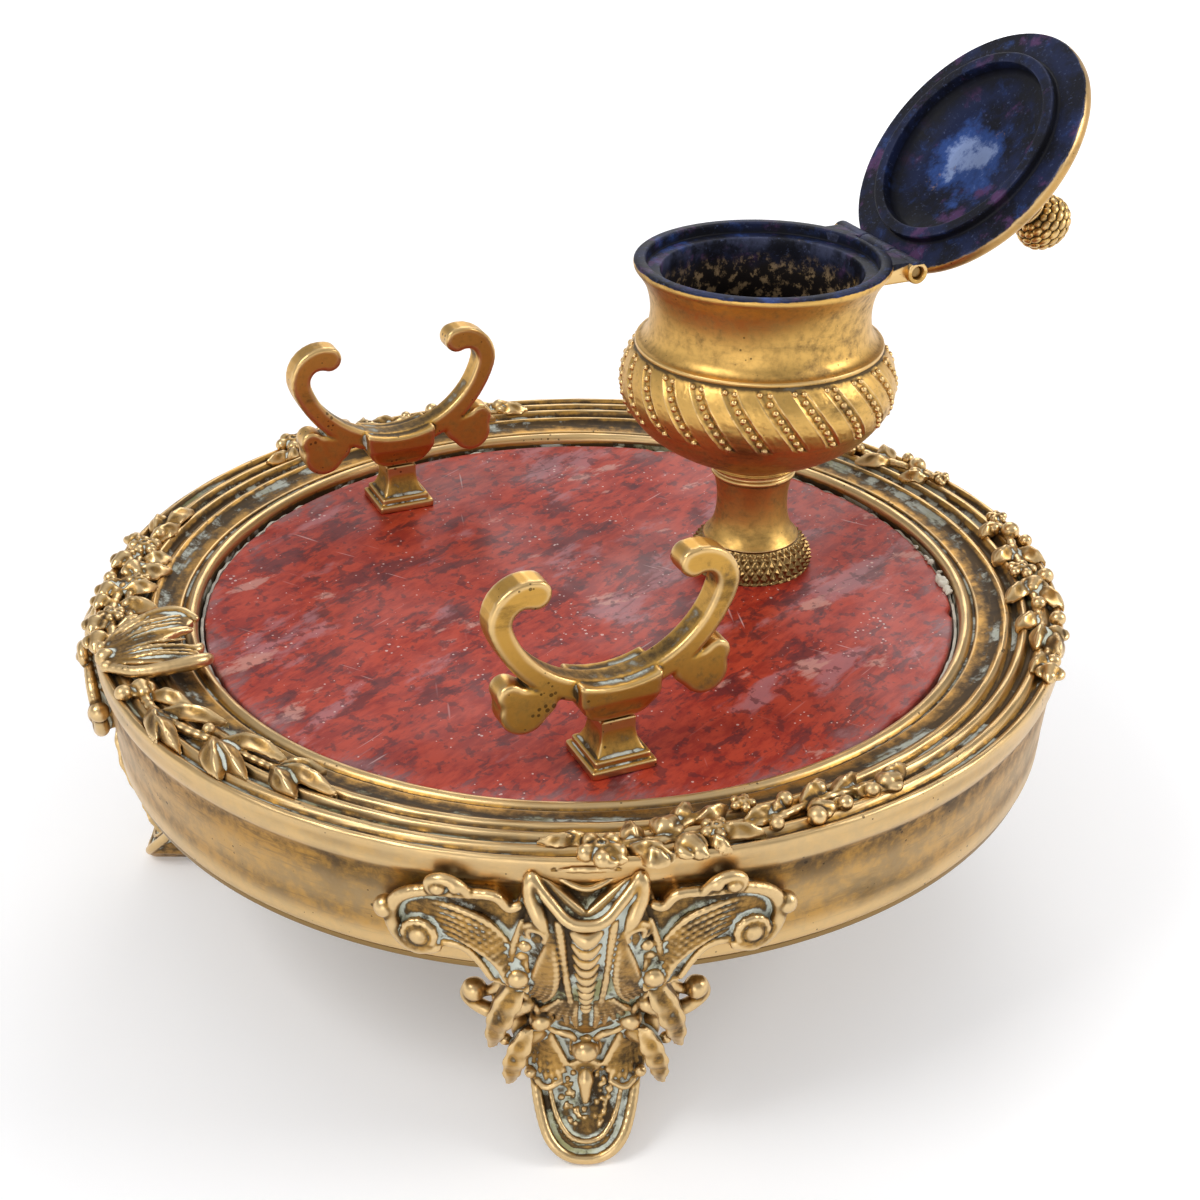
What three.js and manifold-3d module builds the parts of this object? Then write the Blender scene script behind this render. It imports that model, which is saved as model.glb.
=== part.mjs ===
// A round desk inkstand of gilt bronze: a drum-shaped tray with a red marble top, cast garlands on
// its rim, three cast feet, two pen rests and a footed inkwell whose domed lid opens on a hinge.
// Millimetres, +Z up. The origin is the centre of the marble's top face, the inkwell stands
// towards +Y and the writer sits at -Y. The lid is modelled open.
import * as THREE from "three";
import { mergeVertices } from "three/addons/utils/BufferGeometryUtils.js";
import Module from "manifold-3d";

const wasm = await Module();
wasm.setup();

// Fits that several pieces share
const seatGap = 0.3;
const boreGap = 0.15;
const overrun = 4;
const weld = 0.0001;

// Marble top and its plaster bed
const marble = { radius: 75, thickness: 10 };
// The middle of the marble, clear of all fittings, as a share of its radius
const marbleMiddleShare = 0.27;
const bedding = { width: 1.2, height: 6 };

// Rim casting: moulded rim, drum wall, and the ledge that carries the marble
const rim = {
  width: 19.9,
  crest: 3.6,
  taper: 2.3,
  depth: 20,
  wall: 2.8,
  roof: 2.4,
  ledgeWidth: 9,
  ledge: 3.2,
};
const mouldingShares = [
  [0, 0.33], [0.06, 0.56], [0.13, 0.47], [0.165, 0.33], [0.4, 0.69], [0.44, 0.8], [0.52, 0.62],
  [0.615, 0.95], [0.71, 0.7], [0.8, 0.97], [0.88, 0.76], [0.955, 1], [1, 0.72],
];
const wallShares = [[0.95, 0.03], [0.6, 0.13], [0.35, 0.4], [0.12, 0.7], [0, 1]];

// Base plate and its screws
const basePlate = { setback: 0.6, thickness: 1.2, screws: 3, firstScrew: 51.2 };
const lug = { length: 7, width: 9, height: 8 };
const baseScrew = { radius: 1.4, length: 6, head: 2.8, headHeight: 1.4 };

// Feet: a side outline and a front outline cut each other to the leg's form
const foot = {
  angles: [-22.9, -114.6, 111.2],
  floor: 63.75,
  lipReach: 4.4,
  heelReach: 17.1,
  halfWidth: 15.5,
};
const footSideShares = [
  [0.81, 0.01], [1, 0.1], [0.94, 0.2], [0.75, 0.38], [0.5, 0.54], [0.34, 0.65], [0.31, 0.75],
  [0.43, 0.85], [0.63, 0.93], [0.69, 0.97], [0.68, 1], [0.16, 1], [0, 0.92], [-0.02, 0.76],
  [0, 0.6], [0.05, 0.45], [0.12, 0.35], [0.78, 0.35],
];
const footFrontShares = [
  [0.55, 0.005], [0.56, 0.16], [0.62, 0.28], [0.97, 0.38], [1, 0.47], [0.87, 0.56], [0.71, 0.66],
  [0.62, 0.74], [0.63, 0.82], [0.54, 0.91], [0.43, 0.965], [0.3, 1],
];
const wing = { span: 33, relief: 4.2 };
const wingShares = [
  [0.2, 0.03], [0.42, 0.08], [0.6, 0.04], [0.8, 0.03], [0.94, 0.08], [1, 0.15], [0.96, 0.23],
  [0.84, 0.28], [0.7, 0.25], [0.66, 0.2], [0.58, 0.24], [0.53, 0.33], [0.5, 0.42], [0.2, 0.42],
];
const wingThinShare = 0.5;
// Beads on a foot: shares of its half width, of its height and of its depth from heel to lip
const bead = { radius: 2.1, centre: 2.5 };
const sideBeadShares = [[0.72, 0.3, 0.76], [0.5, 0.5, 0.56]];
const centreBeadShares = [0, 0.66, 0.36];
const wingBeadDownShare = 0.13;
// The small scroll beside the leg: where it leaves the leg, bends and ends
const scroll = { radius: 2.6, reach: 20, arm: 1.8 };
const scrollOutShare = 0.36;
const scrollStartShares = [0.6, 0.56];
const scrollBendShares = [0.9, 0.55];
const scrollEndShares = [1, 0.41];
const footScrew = { radius: 1.2, head: 2.4, headHeight: 1.5, bite: 3.2, spread: 5, height: 9 };

// Inkwell, standing on the marble behind its middle
const well = { back: 39, height: 45.4, radius: 25.2, lip: 2.4, shelf: 3, shelfDepth: 2.3 };
const footRing = { radius: 12.5, height: 6.3 };
const stem = { flare: 9.4, height: 14.3 };
const tieRod = { radius: 2.5, intoBowl: 3.6 };
const nut = { height: 3, wall: 2.6 };
const washer = { height: 1, wall: 3.8 };
const footRingShares = [[0.86, 0], [1, 0.18], [1, 0.46], [0.86, 0.86], [0.7, 1]];
const stemShares = [
  [1, 0], [0.99, 0.06], [0.83, 0.15], [0.76, 0.3], [0.74, 0.47], [0.76, 0.64], [0.84, 0.84],
  [0.88, 0.9], [0.88, 1],
];
const bowlOuterShares = [
  [0.34, 0], [0.37, 0.02], [0.53, 0.046], [0.8, 0.12], [1.01, 0.25], [1.09, 0.36], [1.103, 0.434],
  [1.08, 0.504], [1.01, 0.58], [0.93, 0.626], [0.88, 0.67], [0.865, 0.735], [0.88, 0.82],
  [0.93, 0.91], [0.985, 0.96], [1, 0.982], [0.992, 1],
];
// Inside the bowl: shares of the throat's radius and of the bowl's height
const bowlInnerShares = [
  [1, 0.75], [1.07, 0.65], [1.25, 0.53], [1.27, 0.42], [1.18, 0.29], [0.92, 0.175], [0.38, 0.12],
  [0, 0.115],
];

// Hinge between the bowl and the lid; its barrel is flush with the bowl's lip
const hinge = { offset: 1.05, radius: 2.2, pin: 1.15, middle: 10, outer: 9.5, recess: 0.8 };
const openAngle = 130;

// Lid and its berry knob
const lid = { overhang: 2, height: 20.8, ringPlay: 1.5, ringWall: 2.3, dish: 4.6, web: 3.2 };
const lidShares = [
  [0.97, 0], [1, 0.045], [1, 0.105], [0.94, 0.165], [0.83, 0.25], [0.74, 0.325], [0.63, 0.42],
  [0.505, 0.52], [0.375, 0.595], [0.257, 0.655], [0.16, 0.76], [0.114, 1],
];
const dishShares = [[1, 0.3], [0.7, 0.75], [0, 1]];
const webHeightShare = 0.1;
const knob = { collar: 3.8, collarHeight: 1.3, radius: 6.1, halfHeight: 4.9, neck: 2.4 };
const spigot = { radius: 1.8, depth: 5 };
const knobStepShare = 0.4;
// The berry's outline runs between these heights, in degrees of latitude
const berry = { fromAngle: -60, toAngle: 90, rows: 6 };

// Pen rests
const rest = { clear: 1.3, azimuth: 18.3, thickness: 5.2, bossThickness: 9 };
const plinth = { half: 6.2, height: 9.5 };
const plinthShares = [
  [1, 0], [1, 0.16], [0.8, 0.17], [0.8, 0.3], [0.69, 0.32], [0.6, 0.45], [0.54, 0.65], [0.52, 1],
];
const boss = { top: 7.6, bottom: 3.6, height: 8.6 };
const stud = { radius: 1.5, intoBoss: 3.4 };
const cradle = { seat: 7.2, inner: 19.9, band: 3.8, sweepAngle: 72, hook: 4.8, tip: 2.6, hookAngle: 140 };
const lobe = { radius: 4.3, drop: 4.4, angle: 37.8, neck: 3.6 };

// Cast mounts on the rim
const leaf = { length: 11, width: 5.2, height: 3.4 };
const flower = { radius: 4.3, height: 2.8, heart: 1.6, petals: 5 };
const flowerNotchShare = 0.6;
const stalk = 1.2;
const garlandLineShare = 0.66;
// Each garland: angles of its two ends, and how far along it the flowers reach
const garlands = {
  flower_spray: { fromAngle: -97, toAngle: -134.5, flowersShare: 0.75 },
  laurel_spray: { fromAngle: -83, toAngle: -53, flowersShare: 0 },
  leg_garland_right: { fromAngle: -24, toAngle: 12.2, flowersShare: 0.45 },
  leg_garland_left: { fromAngle: 204, toAngle: 167.8, flowersShare: 0.45 },
  back_garland_right: { fromAngle: 85.3, toAngle: 41.4, flowersShare: 0.6 },
  back_garland_left: { fromAngle: 94.7, toAngle: 138.6, flowersShare: 0.6 },
};
const garland = { steps: 5, leafAngle: 30 };
const firstLeafShare = 1.15;
const leafShrinkShare = 0.33;
const flowerLeafShare = 0.8;
// The bow: a fan of blades that starts near the rim's edge and points at the marble
const bow = { inset: 6.6, length: 18.5, width: 5.4, height: 4.4, knot: 4.2, blades: 5, spreadAngle: 62 };
const bowKnotShare = 0.5;

const facets = { tray: 48, well: 28, lid: 28, small: 8, fine: 16 };

const finishes = {
  marble: { color: 0xa83c34, roughness: 0.35, metalness: 0 },
  plaster: { color: 0xcfc7b4, roughness: 0.95, metalness: 0 },
  gilt: { color: 0xb0843f, roughness: 0.4, metalness: 1 },
  bronze: { color: 0x8f6a35, roughness: 0.5, metalness: 1 },
  stained: { color: 0x5a4a3a, roughness: 0.5, metalness: 0.9 },
  iron: { color: 0x4a4640, roughness: 0.6, metalness: 1 },
};

// The solid of a closed geometry.
function solid(geometry) {
  const bare = geometry.index ? geometry.toNonIndexed() : geometry.clone();
  bare.deleteAttribute("normal");
  bare.deleteAttribute("uv");
  const merged = mergeVertices(bare, weld);
  const corners = merged.index.array;
  const kept = [];
  for (let i = 0; i < corners.length; i += 3) {
    const [a, b, c] = [corners[i], corners[i + 1], corners[i + 2]];
    if (a !== b && b !== c && a !== c) kept.push(a, b, c);
  }
  return new wasm.Manifold(
    new wasm.Mesh({
      numProp: 3,
      vertProperties: merged.attributes.position.array,
      triVerts: new Uint32Array(kept),
    }),
  );
}

// The geometry of a solid, for a mesh.
function geometryOf(body) {
  const made = body.getMesh();
  const places = new Float32Array(made.numVert * 3);
  for (let i = 0; i < made.numVert; i++) {
    places.set(made.vertProperties.subarray(i * made.numProp, i * made.numProp + 3), i * 3);
  }
  const geometry = new THREE.BufferGeometry();
  geometry.setAttribute("position", new THREE.BufferAttribute(places, 3));
  geometry.setIndex(new THREE.BufferAttribute(made.triVerts, 1));
  geometry.computeVertexNormals();
  return geometry;
}

const joined = (bodies) => bodies.reduce((all, next) => all.add(next));
const cutBy = (body, tools) => tools.reduce((left, tool) => left.subtract(tool), body);
const radians = THREE.MathUtils.degToRad;

// A solid turned about +Z from [radius, height] points.
function turned(points, segments) {
  const area = points.reduce((sum, [r, z], i) => {
    const [nextR, nextZ] = points[(i + 1) % points.length];
    return sum + r * nextZ - nextR * z;
  }, 0);
  const ordered = area < 0 ? [...points].reverse() : points;
  const start = ordered.findIndex(([r], i) => r === 0 && ordered.at(i - 1)[0] === 0);
  const loop = start < 0 ? [...ordered, ordered[0]] : [...ordered.slice(start), ...ordered.slice(0, start)];
  const profile = loop.map(([r, z]) => new THREE.Vector2(r, z));
  return solid(new THREE.LatheGeometry(profile, segments).rotateX(Math.PI / 2));
}

// A plain ring or, with no bore, a plain disc.
function disc(radius, low, high, segments, bore = 0) {
  return turned([[bore, low], [radius, low], [radius, high], [bore, high]], segments);
}

// Points from share pairs of a width and a height.
const scaled = (shares, width, height, lift = 0) =>
  shares.map(([r, z]) => [r * width, z * height + lift]);

// A shape drawn in (across, up) and thick along X.
function slabAlongX(shape, thickness, curveSegments) {
  const turn = new THREE.Matrix4().makeBasis(
    new THREE.Vector3(0, 1, 0),
    new THREE.Vector3(0, 0, 1),
    new THREE.Vector3(1, 0, 0),
  );
  const flat = new THREE.ExtrudeGeometry(shape, { depth: thickness, bevelEnabled: false, curveSegments });
  return solid(flat.translate(0, 0, -thickness / 2).applyMatrix4(turn));
}

// A shape drawn in (outwards, up) and thick along Y.
function slabAlongY(shape, thickness) {
  const flat = new THREE.ExtrudeGeometry(shape, { depth: thickness, bevelEnabled: false });
  return solid(flat.translate(0, 0, -thickness / 2).rotateX(Math.PI / 2));
}

const outline = (points) => new THREE.Shape(points.map(([x, y]) => new THREE.Vector2(x, y)));

// A ball, or with scales an egg, at a place.
function ball(radius, place, around = 6, rows = 4, scale = [1, 1, 1], turn = [0, 0, 0]) {
  const made = new THREE.SphereGeometry(radius, around, rows);
  const matrix = new THREE.Matrix4().compose(
    new THREE.Vector3(...place),
    new THREE.Quaternion().setFromEuler(new THREE.Euler(...turn)),
    new THREE.Vector3(...scale),
  );
  return solid(made.applyMatrix4(matrix));
}

// A round bar along X between two places on that axis.
function barAlongX(radius, from, to, segments) {
  const bar = new THREE.CylinderGeometry(radius, radius, to - from, segments).rotateZ(Math.PI / 2);
  return solid(bar.translate((from + to) / 2, 0, 0));
}

function box(low, high) {
  const size = high.map((value, i) => value - low[i]);
  const made = new THREE.BoxGeometry(...size);
  return solid(made.translate(...low.map((value, i) => value + size[i] / 2)));
}

function material(finish) {
  return new THREE.MeshStandardMaterial(finishes[finish]);
}

const inkstand = new THREE.Group();

// Adds a named piece at a place, turned about +Z by an azimuth in degrees.
function addPiece(name, body, finish, { place = [0, 0, 0], azimuth = 0, parent = inkstand } = {}) {
  const mesh = new THREE.Mesh(geometryOf(body), material(finish));
  mesh.name = name;
  mesh.position.set(...place);
  mesh.rotation.z = radians(azimuth);
  parent.add(mesh);
}

// Marble, plaster bed and rim casting

const rodHole = tieRod.radius + seatGap;
const studHole = stud.radius + seatGap;
const seatRadius = marble.radius + bedding.width;
const rimRadius = seatRadius + rim.width;
const drumRadius = rimRadius - rim.taper;
const ledgeTop = -marble.thickness - seatGap;
const ledgeRadius = seatRadius - rim.ledgeWidth;
const restRadius = ledgeRadius - rest.clear - washer.wall - stud.radius;
const restSide = restRadius * Math.cos(radians(rest.azimuth));
const restFront = restRadius * Math.sin(radians(rest.azimuth));
const restPlaces = [[restSide, -restFront], [-restSide, -restFront]];

function marbleTop() {
  const middle = marble.radius * marbleMiddleShare;
  const slab = (bore, radius) => disc(radius, -marble.thickness, 0, facets.tray, bore);
  const drill = (radius, x, y) =>
    disc(radius, -marble.thickness - overrun, overrun, facets.small).translate([x, y, 0]);
  const drilled = cutBy(slab(middle - overrun, marble.radius), [
    drill(rodHole, 0, well.back),
    ...restPlaces.map(([x, y]) => drill(studHole, x, y)),
  ]);
  return drilled.add(slab(0, middle));
}

function plasterBed() {
  const top = -seatGap;
  const inner = marble.radius + seatGap;
  const outer = seatRadius - seatGap;
  return turned(
    [[inner, top - bedding.height], [outer, top - bedding.height], [outer, top], [inner, top]],
    facets.tray,
  );
}

const mouldingPoints = mouldingShares.map(([out, up]) => [seatRadius + out * rim.width, up * rim.crest]);
const wallPoints = wallShares.map(([out, down]) => [drumRadius + out * rim.taper, -down * rim.depth]);
const innerEdge = mouldingPoints[0][1];
const outerEdge = mouldingPoints.at(-1)[1];
const channelRoof = innerEdge - rim.roof;
const channelOuter = drumRadius - rim.wall;
const seatWall = seatRadius + rim.wall;
const azimuthsOf = (count, first) => Array.from({ length: count }, (_, i) => first + (i * 360) / count);
const screwAzimuths = azimuthsOf(basePlate.screws, basePlate.firstScrew);
const lugMiddle = channelOuter - lug.length / 2;

function footScrewHoles(radius) {
  return foot.angles.flatMap((azimuth) =>
    [-1, 1].map((side) =>
      barAlongX(radius, channelOuter - overrun, rimRadius + overrun, facets.small)
        .translate([0, side * footScrew.spread, -footScrew.height])
        .rotate([0, 0, azimuth]),
    ),
  );
}

function rimCasting() {
  const ring = turned(
    [
      ...[...mouldingPoints, ...wallPoints].reverse(),
      [seatRadius, ledgeTop],
      [ledgeRadius, ledgeTop],
      [ledgeRadius, ledgeTop - rim.ledge],
      [seatWall, ledgeTop - rim.ledge],
      [seatWall, channelRoof],
      [channelOuter, channelRoof],
      [channelOuter, -rim.depth],
    ],
    facets.tray,
  );
  const lugs = screwAzimuths.map((azimuth) =>
    box(
      [lugMiddle - lug.length / 2, -lug.width / 2, -rim.depth],
      [channelOuter + rim.wall / 2, lug.width / 2, -rim.depth + lug.height],
    ).rotate([0, 0, azimuth]),
  );
  const lugHoles = screwAzimuths.map((azimuth) =>
    disc(baseScrew.radius + boreGap, -rim.depth - overrun, -rim.depth + baseScrew.length, facets.small)
      .translate([lugMiddle, 0, 0])
      .rotate([0, 0, azimuth]),
  );
  return cutBy(joined([ring, ...lugs]), [...lugHoles, ...footScrewHoles(footScrew.radius + boreGap)]);
}

const plateTop = -rim.depth - seatGap;
const plateBottom = plateTop - basePlate.thickness;
const plateRadius = drumRadius - basePlate.setback;

function basePlateDisc() {
  const plate = disc(plateRadius, plateBottom, plateTop, facets.tray);
  const holes = screwAzimuths.map((azimuth) =>
    disc(baseScrew.radius + boreGap, plateBottom - overrun, plateTop + overrun, facets.small)
      .translate([lugMiddle, 0, 0])
      .rotate([0, 0, azimuth]),
  );
  return cutBy(plate, holes);
}

// A screw with a round head, its shank upwards from z = 0 and its head below.
function screw(shank, length, head, headHeight) {
  return turned(
    [[0, -headHeight], [head, -headHeight], [head, 0], [shank, 0], [shank, length], [0, length]],
    facets.small,
  );
}

// Feet

const heelRadius = rimRadius - foot.heelReach;
const legDepth = foot.lipReach + foot.heelReach;
const scrollRadius = heelRadius + scrollOutShare * legDepth;

// A place on a foot from its shares across, down and outwards.
const onFoot = ([across, down, out], side = 1) => [
  heelRadius + out * legDepth,
  side * across * foot.halfWidth,
  -down * foot.floor,
];

// What a foot has to stay clear of: the drum wall and the base plate.
function drumEnvelope() {
  return turned(
    [
      [0, plateBottom - seatGap],
      [plateRadius + seatGap, plateBottom - seatGap],
      ...[...wallPoints].reverse().map(([r, z]) => [r + seatGap, z]),
      [rimRadius + seatGap, outerEdge],
      [rimRadius, rim.crest],
      [0, rim.crest],
    ],
    facets.tray,
  );
}

// The flat acanthus wing that lies on the drum wall beside the leg.
function footWing(side) {
  const bottom = -wingThinShare * foot.floor;
  const relief = turned(
    [
      [drumRadius, bottom],
      [rimRadius + wingThinShare * wing.relief, bottom],
      [rimRadius + wing.relief, 0],
      [drumRadius, 0],
    ],
    facets.tray,
  );
  const points = wingShares.map(([across, down]) => [side * across * wing.span, -down * foot.floor]);
  return relief.intersect(slabAlongX(outline(points), 2 * legDepth).translate([rimRadius, 0, 0]));
}

function footScroll(side) {
  const at = ([across, down]) =>
    new THREE.Vector3(scrollRadius, side * across * scroll.reach, -down * foot.floor);
  const start = new THREE.Vector3(...onFoot([...scrollStartShares, scrollOutShare], side));
  const end = at(scrollEndShares);
  const path = new THREE.QuadraticBezierCurve3(start, at(scrollBendShares), end);
  const section = new THREE.Shape().absarc(0, 0, scroll.arm, 0, 2 * Math.PI);
  const arm = new THREE.ExtrudeGeometry(section, { steps: 4, curveSegments: 3, extrudePath: path });
  return solid(arm).add(ball(scroll.radius, end.toArray()));
}

function castFoot() {
  const sidePoints = footSideShares.map(([out, down]) => [heelRadius + out * legDepth, -down * foot.floor]);
  const rightHalf = footFrontShares.map(([across, down]) => [across * foot.halfWidth, -down * foot.floor]);
  const leftHalf = [...rightHalf].reverse().map(([across, up]) => [-across, up]);
  const leg = slabAlongY(outline(sidePoints), 2 * foot.halfWidth + overrun).intersect(
    slabAlongX(outline([...rightHalf, ...leftHalf]), 2 * legDepth).translate([rimRadius, 0, 0]),
  );
  const sides = [-1, 1].flatMap((side) => {
    const turn = (side * wing.span) / rimRadius;
    const wingEnd = [rimRadius * Math.cos(turn), rimRadius * Math.sin(turn), -wingBeadDownShare * foot.floor];
    return [
      footWing(side),
      footScroll(side),
      ball(bead.radius, wingEnd),
      ...sideBeadShares.map((shares) => ball(bead.radius, onFoot(shares, side))),
    ];
  });
  const whole = joined([leg, ball(bead.centre, onFoot(centreBeadShares)), ...sides]);
  const screwHoles = [-1, 1].map((side) =>
    barAlongX(footScrew.radius + boreGap, channelOuter, rimRadius + footScrew.bite - boreGap, facets.small)
      .translate([0, side * footScrew.spread, -footScrew.height]),
  );
  return cutBy(whole, [drumEnvelope(), ...screwHoles]);
}

function footScrewBody() {
  const seat = Math.sqrt(channelOuter ** 2 - (footScrew.spread + footScrew.head) ** 2) - seatGap;
  const reach = rimRadius + footScrew.bite - seatGap - seat;
  const upright = screw(footScrew.radius, reach, footScrew.head, footScrew.headHeight);
  return upright.rotate([0, 90, 0]).translate([seat - seatGap, 0, 0]);
}

// Inkwell

const ringTop = footRing.height;
const stemBottom = ringTop + seatGap;
const bowlFoot = footRing.height + stem.height;
const stemTop = bowlFoot - seatGap;
const underMarble = -marble.thickness - seatGap;

function inkwellFootRing() {
  const side = scaled(footRingShares, footRing.radius, footRing.height - seatGap, seatGap);
  return turned([[rodHole, seatGap], ...side, [rodHole, ringTop]], facets.well);
}

function inkwellStem() {
  const side = scaled(stemShares, stem.flare, stemTop - stemBottom, stemBottom);
  return turned([[rodHole, stemBottom], ...side, [rodHole, stemTop]], facets.fine);
}

const lipHeight = bowlFoot + well.height;
const mouthRadius = well.radius - well.lip;
const throatRadius = mouthRadius - well.shelf;
const hingeReach = well.radius + hinge.offset;
const hingeHeight = lipHeight - hinge.radius;
const knuckleStart = hinge.middle / 2 + seatGap;
const barrelEnd = knuckleStart + hinge.outer;
const pinHole = hinge.pin + boreGap;

function inkwellBowl() {
  const outer = scaled(bowlOuterShares, well.radius, well.height, bowlFoot);
  const inner = scaled(bowlInnerShares, throatRadius, well.height, bowlFoot);
  const lip = [
    [mouthRadius, lipHeight],
    [mouthRadius, lipHeight - well.shelfDepth],
    [throatRadius, lipHeight - well.shelfDepth],
  ];
  const vessel = turned([[0, bowlFoot], ...outer, ...lip, ...inner], facets.well);
  const hole = disc(rodHole, bowlFoot - overrun, bowlFoot + tieRod.intoBowl, facets.small);
  const notchHalf = hinge.middle / 2 + seatGap;
  const notchRadius = hinge.radius + seatGap;
  const notch = barAlongX(notchRadius, -notchHalf, notchHalf, facets.fine)
    .add(box([-notchHalf, -notchRadius, 0], [notchHalf, overrun, overrun]))
    .translate([0, hingeReach, hingeHeight]);
  const knuckles = [-1, 1].flatMap((side) => {
    const [from, to] = [side * knuckleStart, side * barrelEnd].sort((a, b) => a - b);
    return [
      barAlongX(hinge.radius, from, to, facets.fine),
      box([from, -2 * hinge.radius, -hinge.radius], [to, 0, hinge.radius]),
    ];
  });
  const barrel = joined(knuckles).translate([0, hingeReach, hingeHeight]);
  const mouthSpace = disc(mouthRadius, lipHeight - 2 * hinge.radius, lipHeight + overrun, facets.well);
  const pinBore = barAlongX(pinHole, -barrelEnd - overrun, barrelEnd + overrun, facets.fine)
    .translate([0, hingeReach, hingeHeight]);
  return cutBy(vessel.subtract(notch).add(barrel.subtract(mouthSpace)), [hole, pinBore]);
}

// Lid, drawn closed with the hinge axis at the origin, then turned open

const lidSeat = hinge.radius + seatGap;
const lidRadius = well.radius + lid.overhang;
const ringRadius = mouthRadius - lid.ringPlay;
const ringInner = ringRadius - lid.ringWall;

function lidBody() {
  const socket = lid.height - spigot.depth - boreGap;
  const spigotHole = spigot.radius + boreGap;
  const upper = turned(
    [
      ...scaled(lidShares, lidRadius, lid.height),
      [spigotHole, lid.height],
      [spigotHole, socket],
      [0, socket],
      [0, 0],
    ],
    facets.lid,
  );
  const ring = disc(ringRadius, -well.shelfDepth, lid.dish / 2, facets.lid);
  const hollow = turned(
    [[0, -overrun], [ringInner, -overrun], ...scaled(dishShares, ringInner, lid.dish)],
    facets.lid,
  );
  const shell = upper.add(ring).subtract(hollow).translate([0, -hingeReach, lidSeat]);
  const halfWidth = hinge.middle / 2;
  const knuckle = barAlongX(hinge.radius, -halfWidth, halfWidth, facets.fine);
  const webTop = lidSeat + webHeightShare * lid.height;
  const web = box([-halfWidth, -lid.web / 2, 0], [halfWidth, lid.web / 2, webTop]);
  const pinBore = barAlongX(pinHole, -halfWidth - overrun, halfWidth + overrun, facets.fine);
  return joined([shell, web, knuckle]).subtract(pinBore);
}

function lidKnob() {
  const foot = lid.height - spigot.depth;
  const bottom = lid.height + seatGap;
  const collarTop = bottom + knob.collarHeight;
  const middle = collarTop + knob.halfHeight;
  const outlinePoints = Array.from({ length: berry.rows }, (_, i) => {
    const angle = radians(berry.fromAngle + (i * (berry.toAngle - berry.fromAngle)) / berry.rows);
    return [knob.radius * Math.cos(angle), middle + knob.halfHeight * Math.sin(angle)];
  });
  const points = [
    [0, foot],
    [spigot.radius, foot],
    [spigot.radius, bottom],
    [knob.neck, bottom],
    [knob.collar, bottom + knobStepShare * knob.collarHeight],
    [knob.collar, collarTop],
    ...outlinePoints,
    [0, middle + knob.halfHeight],
  ];
  return turned(points, facets.fine).translate([0, -hingeReach, lidSeat]);
}

// Pen rests, drawn with the cradle's plane across X

const bossFoot = plinth.height + seatGap;
const bossTop = bossFoot + boss.height;
const cradleCentre = bossFoot + cradle.seat + cradle.inner;
const bandMiddle = cradle.inner + cradle.band / 2;

function hookEnd(side) {
  const end = radians(270 + cradle.sweepAngle);
  const away = bandMiddle - cradle.hook;
  const centre = [away * Math.cos(end), cradleCentre + away * Math.sin(end)];
  const last = end + radians(cradle.hookAngle);
  const hook = new THREE.Shape();
  hook.absarc(...centre, cradle.hook + cradle.band / 2, end, last, false);
  hook.absarc(...centre, cradle.hook - cradle.band / 2, last, end, true);
  const tip = [centre[0] + cradle.hook * Math.cos(last), centre[1] + cradle.hook * Math.sin(last)];
  const knobShape = new THREE.Shape().absarc(...tip, cradle.tip, 0, 2 * Math.PI);
  const made = slabAlongX(hook, rest.thickness, 6).add(slabAlongX(knobShape, rest.thickness, 5));
  return side < 0 ? made.mirror([0, 1, 0]) : made;
}

function lobeAt(side) {
  const turn = radians(lobe.angle);
  const [across, down] = [Math.sin(turn), Math.cos(turn)];
  const at = (distance, aside) => [
    distance * across + aside * down,
    cradleCentre - distance * down + aside * across,
  ];
  const reach = cradle.inner + cradle.band + lobe.drop;
  const half = lobe.neck / 2;
  const round = new THREE.Shape().absarc(...at(reach, 0), lobe.radius, 0, 2 * Math.PI);
  const neck = outline([at(reach, half), at(bandMiddle, half), at(bandMiddle, -half), at(reach, -half)]);
  const made = slabAlongX(round, rest.thickness, 6).add(slabAlongX(neck, rest.thickness));
  return side < 0 ? made.mirror([0, 1, 0]) : made;
}

function restCradle() {
  const [from, to] = [radians(270 - cradle.sweepAngle), radians(270 + cradle.sweepAngle)];
  const arm = new THREE.Shape();
  arm.absarc(0, cradleCentre, cradle.inner + cradle.band, from, to, false);
  arm.absarc(0, cradleCentre, cradle.inner, to, from, true);
  const bossMiddle = (bossFoot + bossTop) / 2;
  const block = new THREE.Shape();
  block.moveTo(-boss.bottom, bossFoot);
  block.lineTo(boss.bottom, bossFoot);
  block.quadraticCurveTo(boss.top, bossMiddle, boss.top, bossTop);
  block.quadraticCurveTo(0, 2 * (bossFoot + cradle.seat) - bossTop, -boss.top, bossTop);
  block.quadraticCurveTo(-boss.top, bossMiddle, -boss.bottom, bossFoot);
  const whole = joined([
    slabAlongX(arm, rest.thickness, 14),
    slabAlongX(block, rest.bossThickness, 4),
    ...[-1, 1].flatMap((side) => [hookEnd(side), lobeAt(side)]),
  ]);
  return whole.subtract(disc(studHole, bossFoot - overrun, bossFoot + stud.intoBoss, facets.small));
}

function restPedestal() {
  const corner = Math.SQRT2 * plinth.half;
  const side = scaled(plinthShares, corner, plinth.height - seatGap, seatGap);
  const square = turned([[0, seatGap], ...side, [0, plinth.height]], 4).rotate([0, 0, 45]);
  return square.subtract(disc(studHole, -overrun, plinth.height + overrun, facets.small));
}

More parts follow.
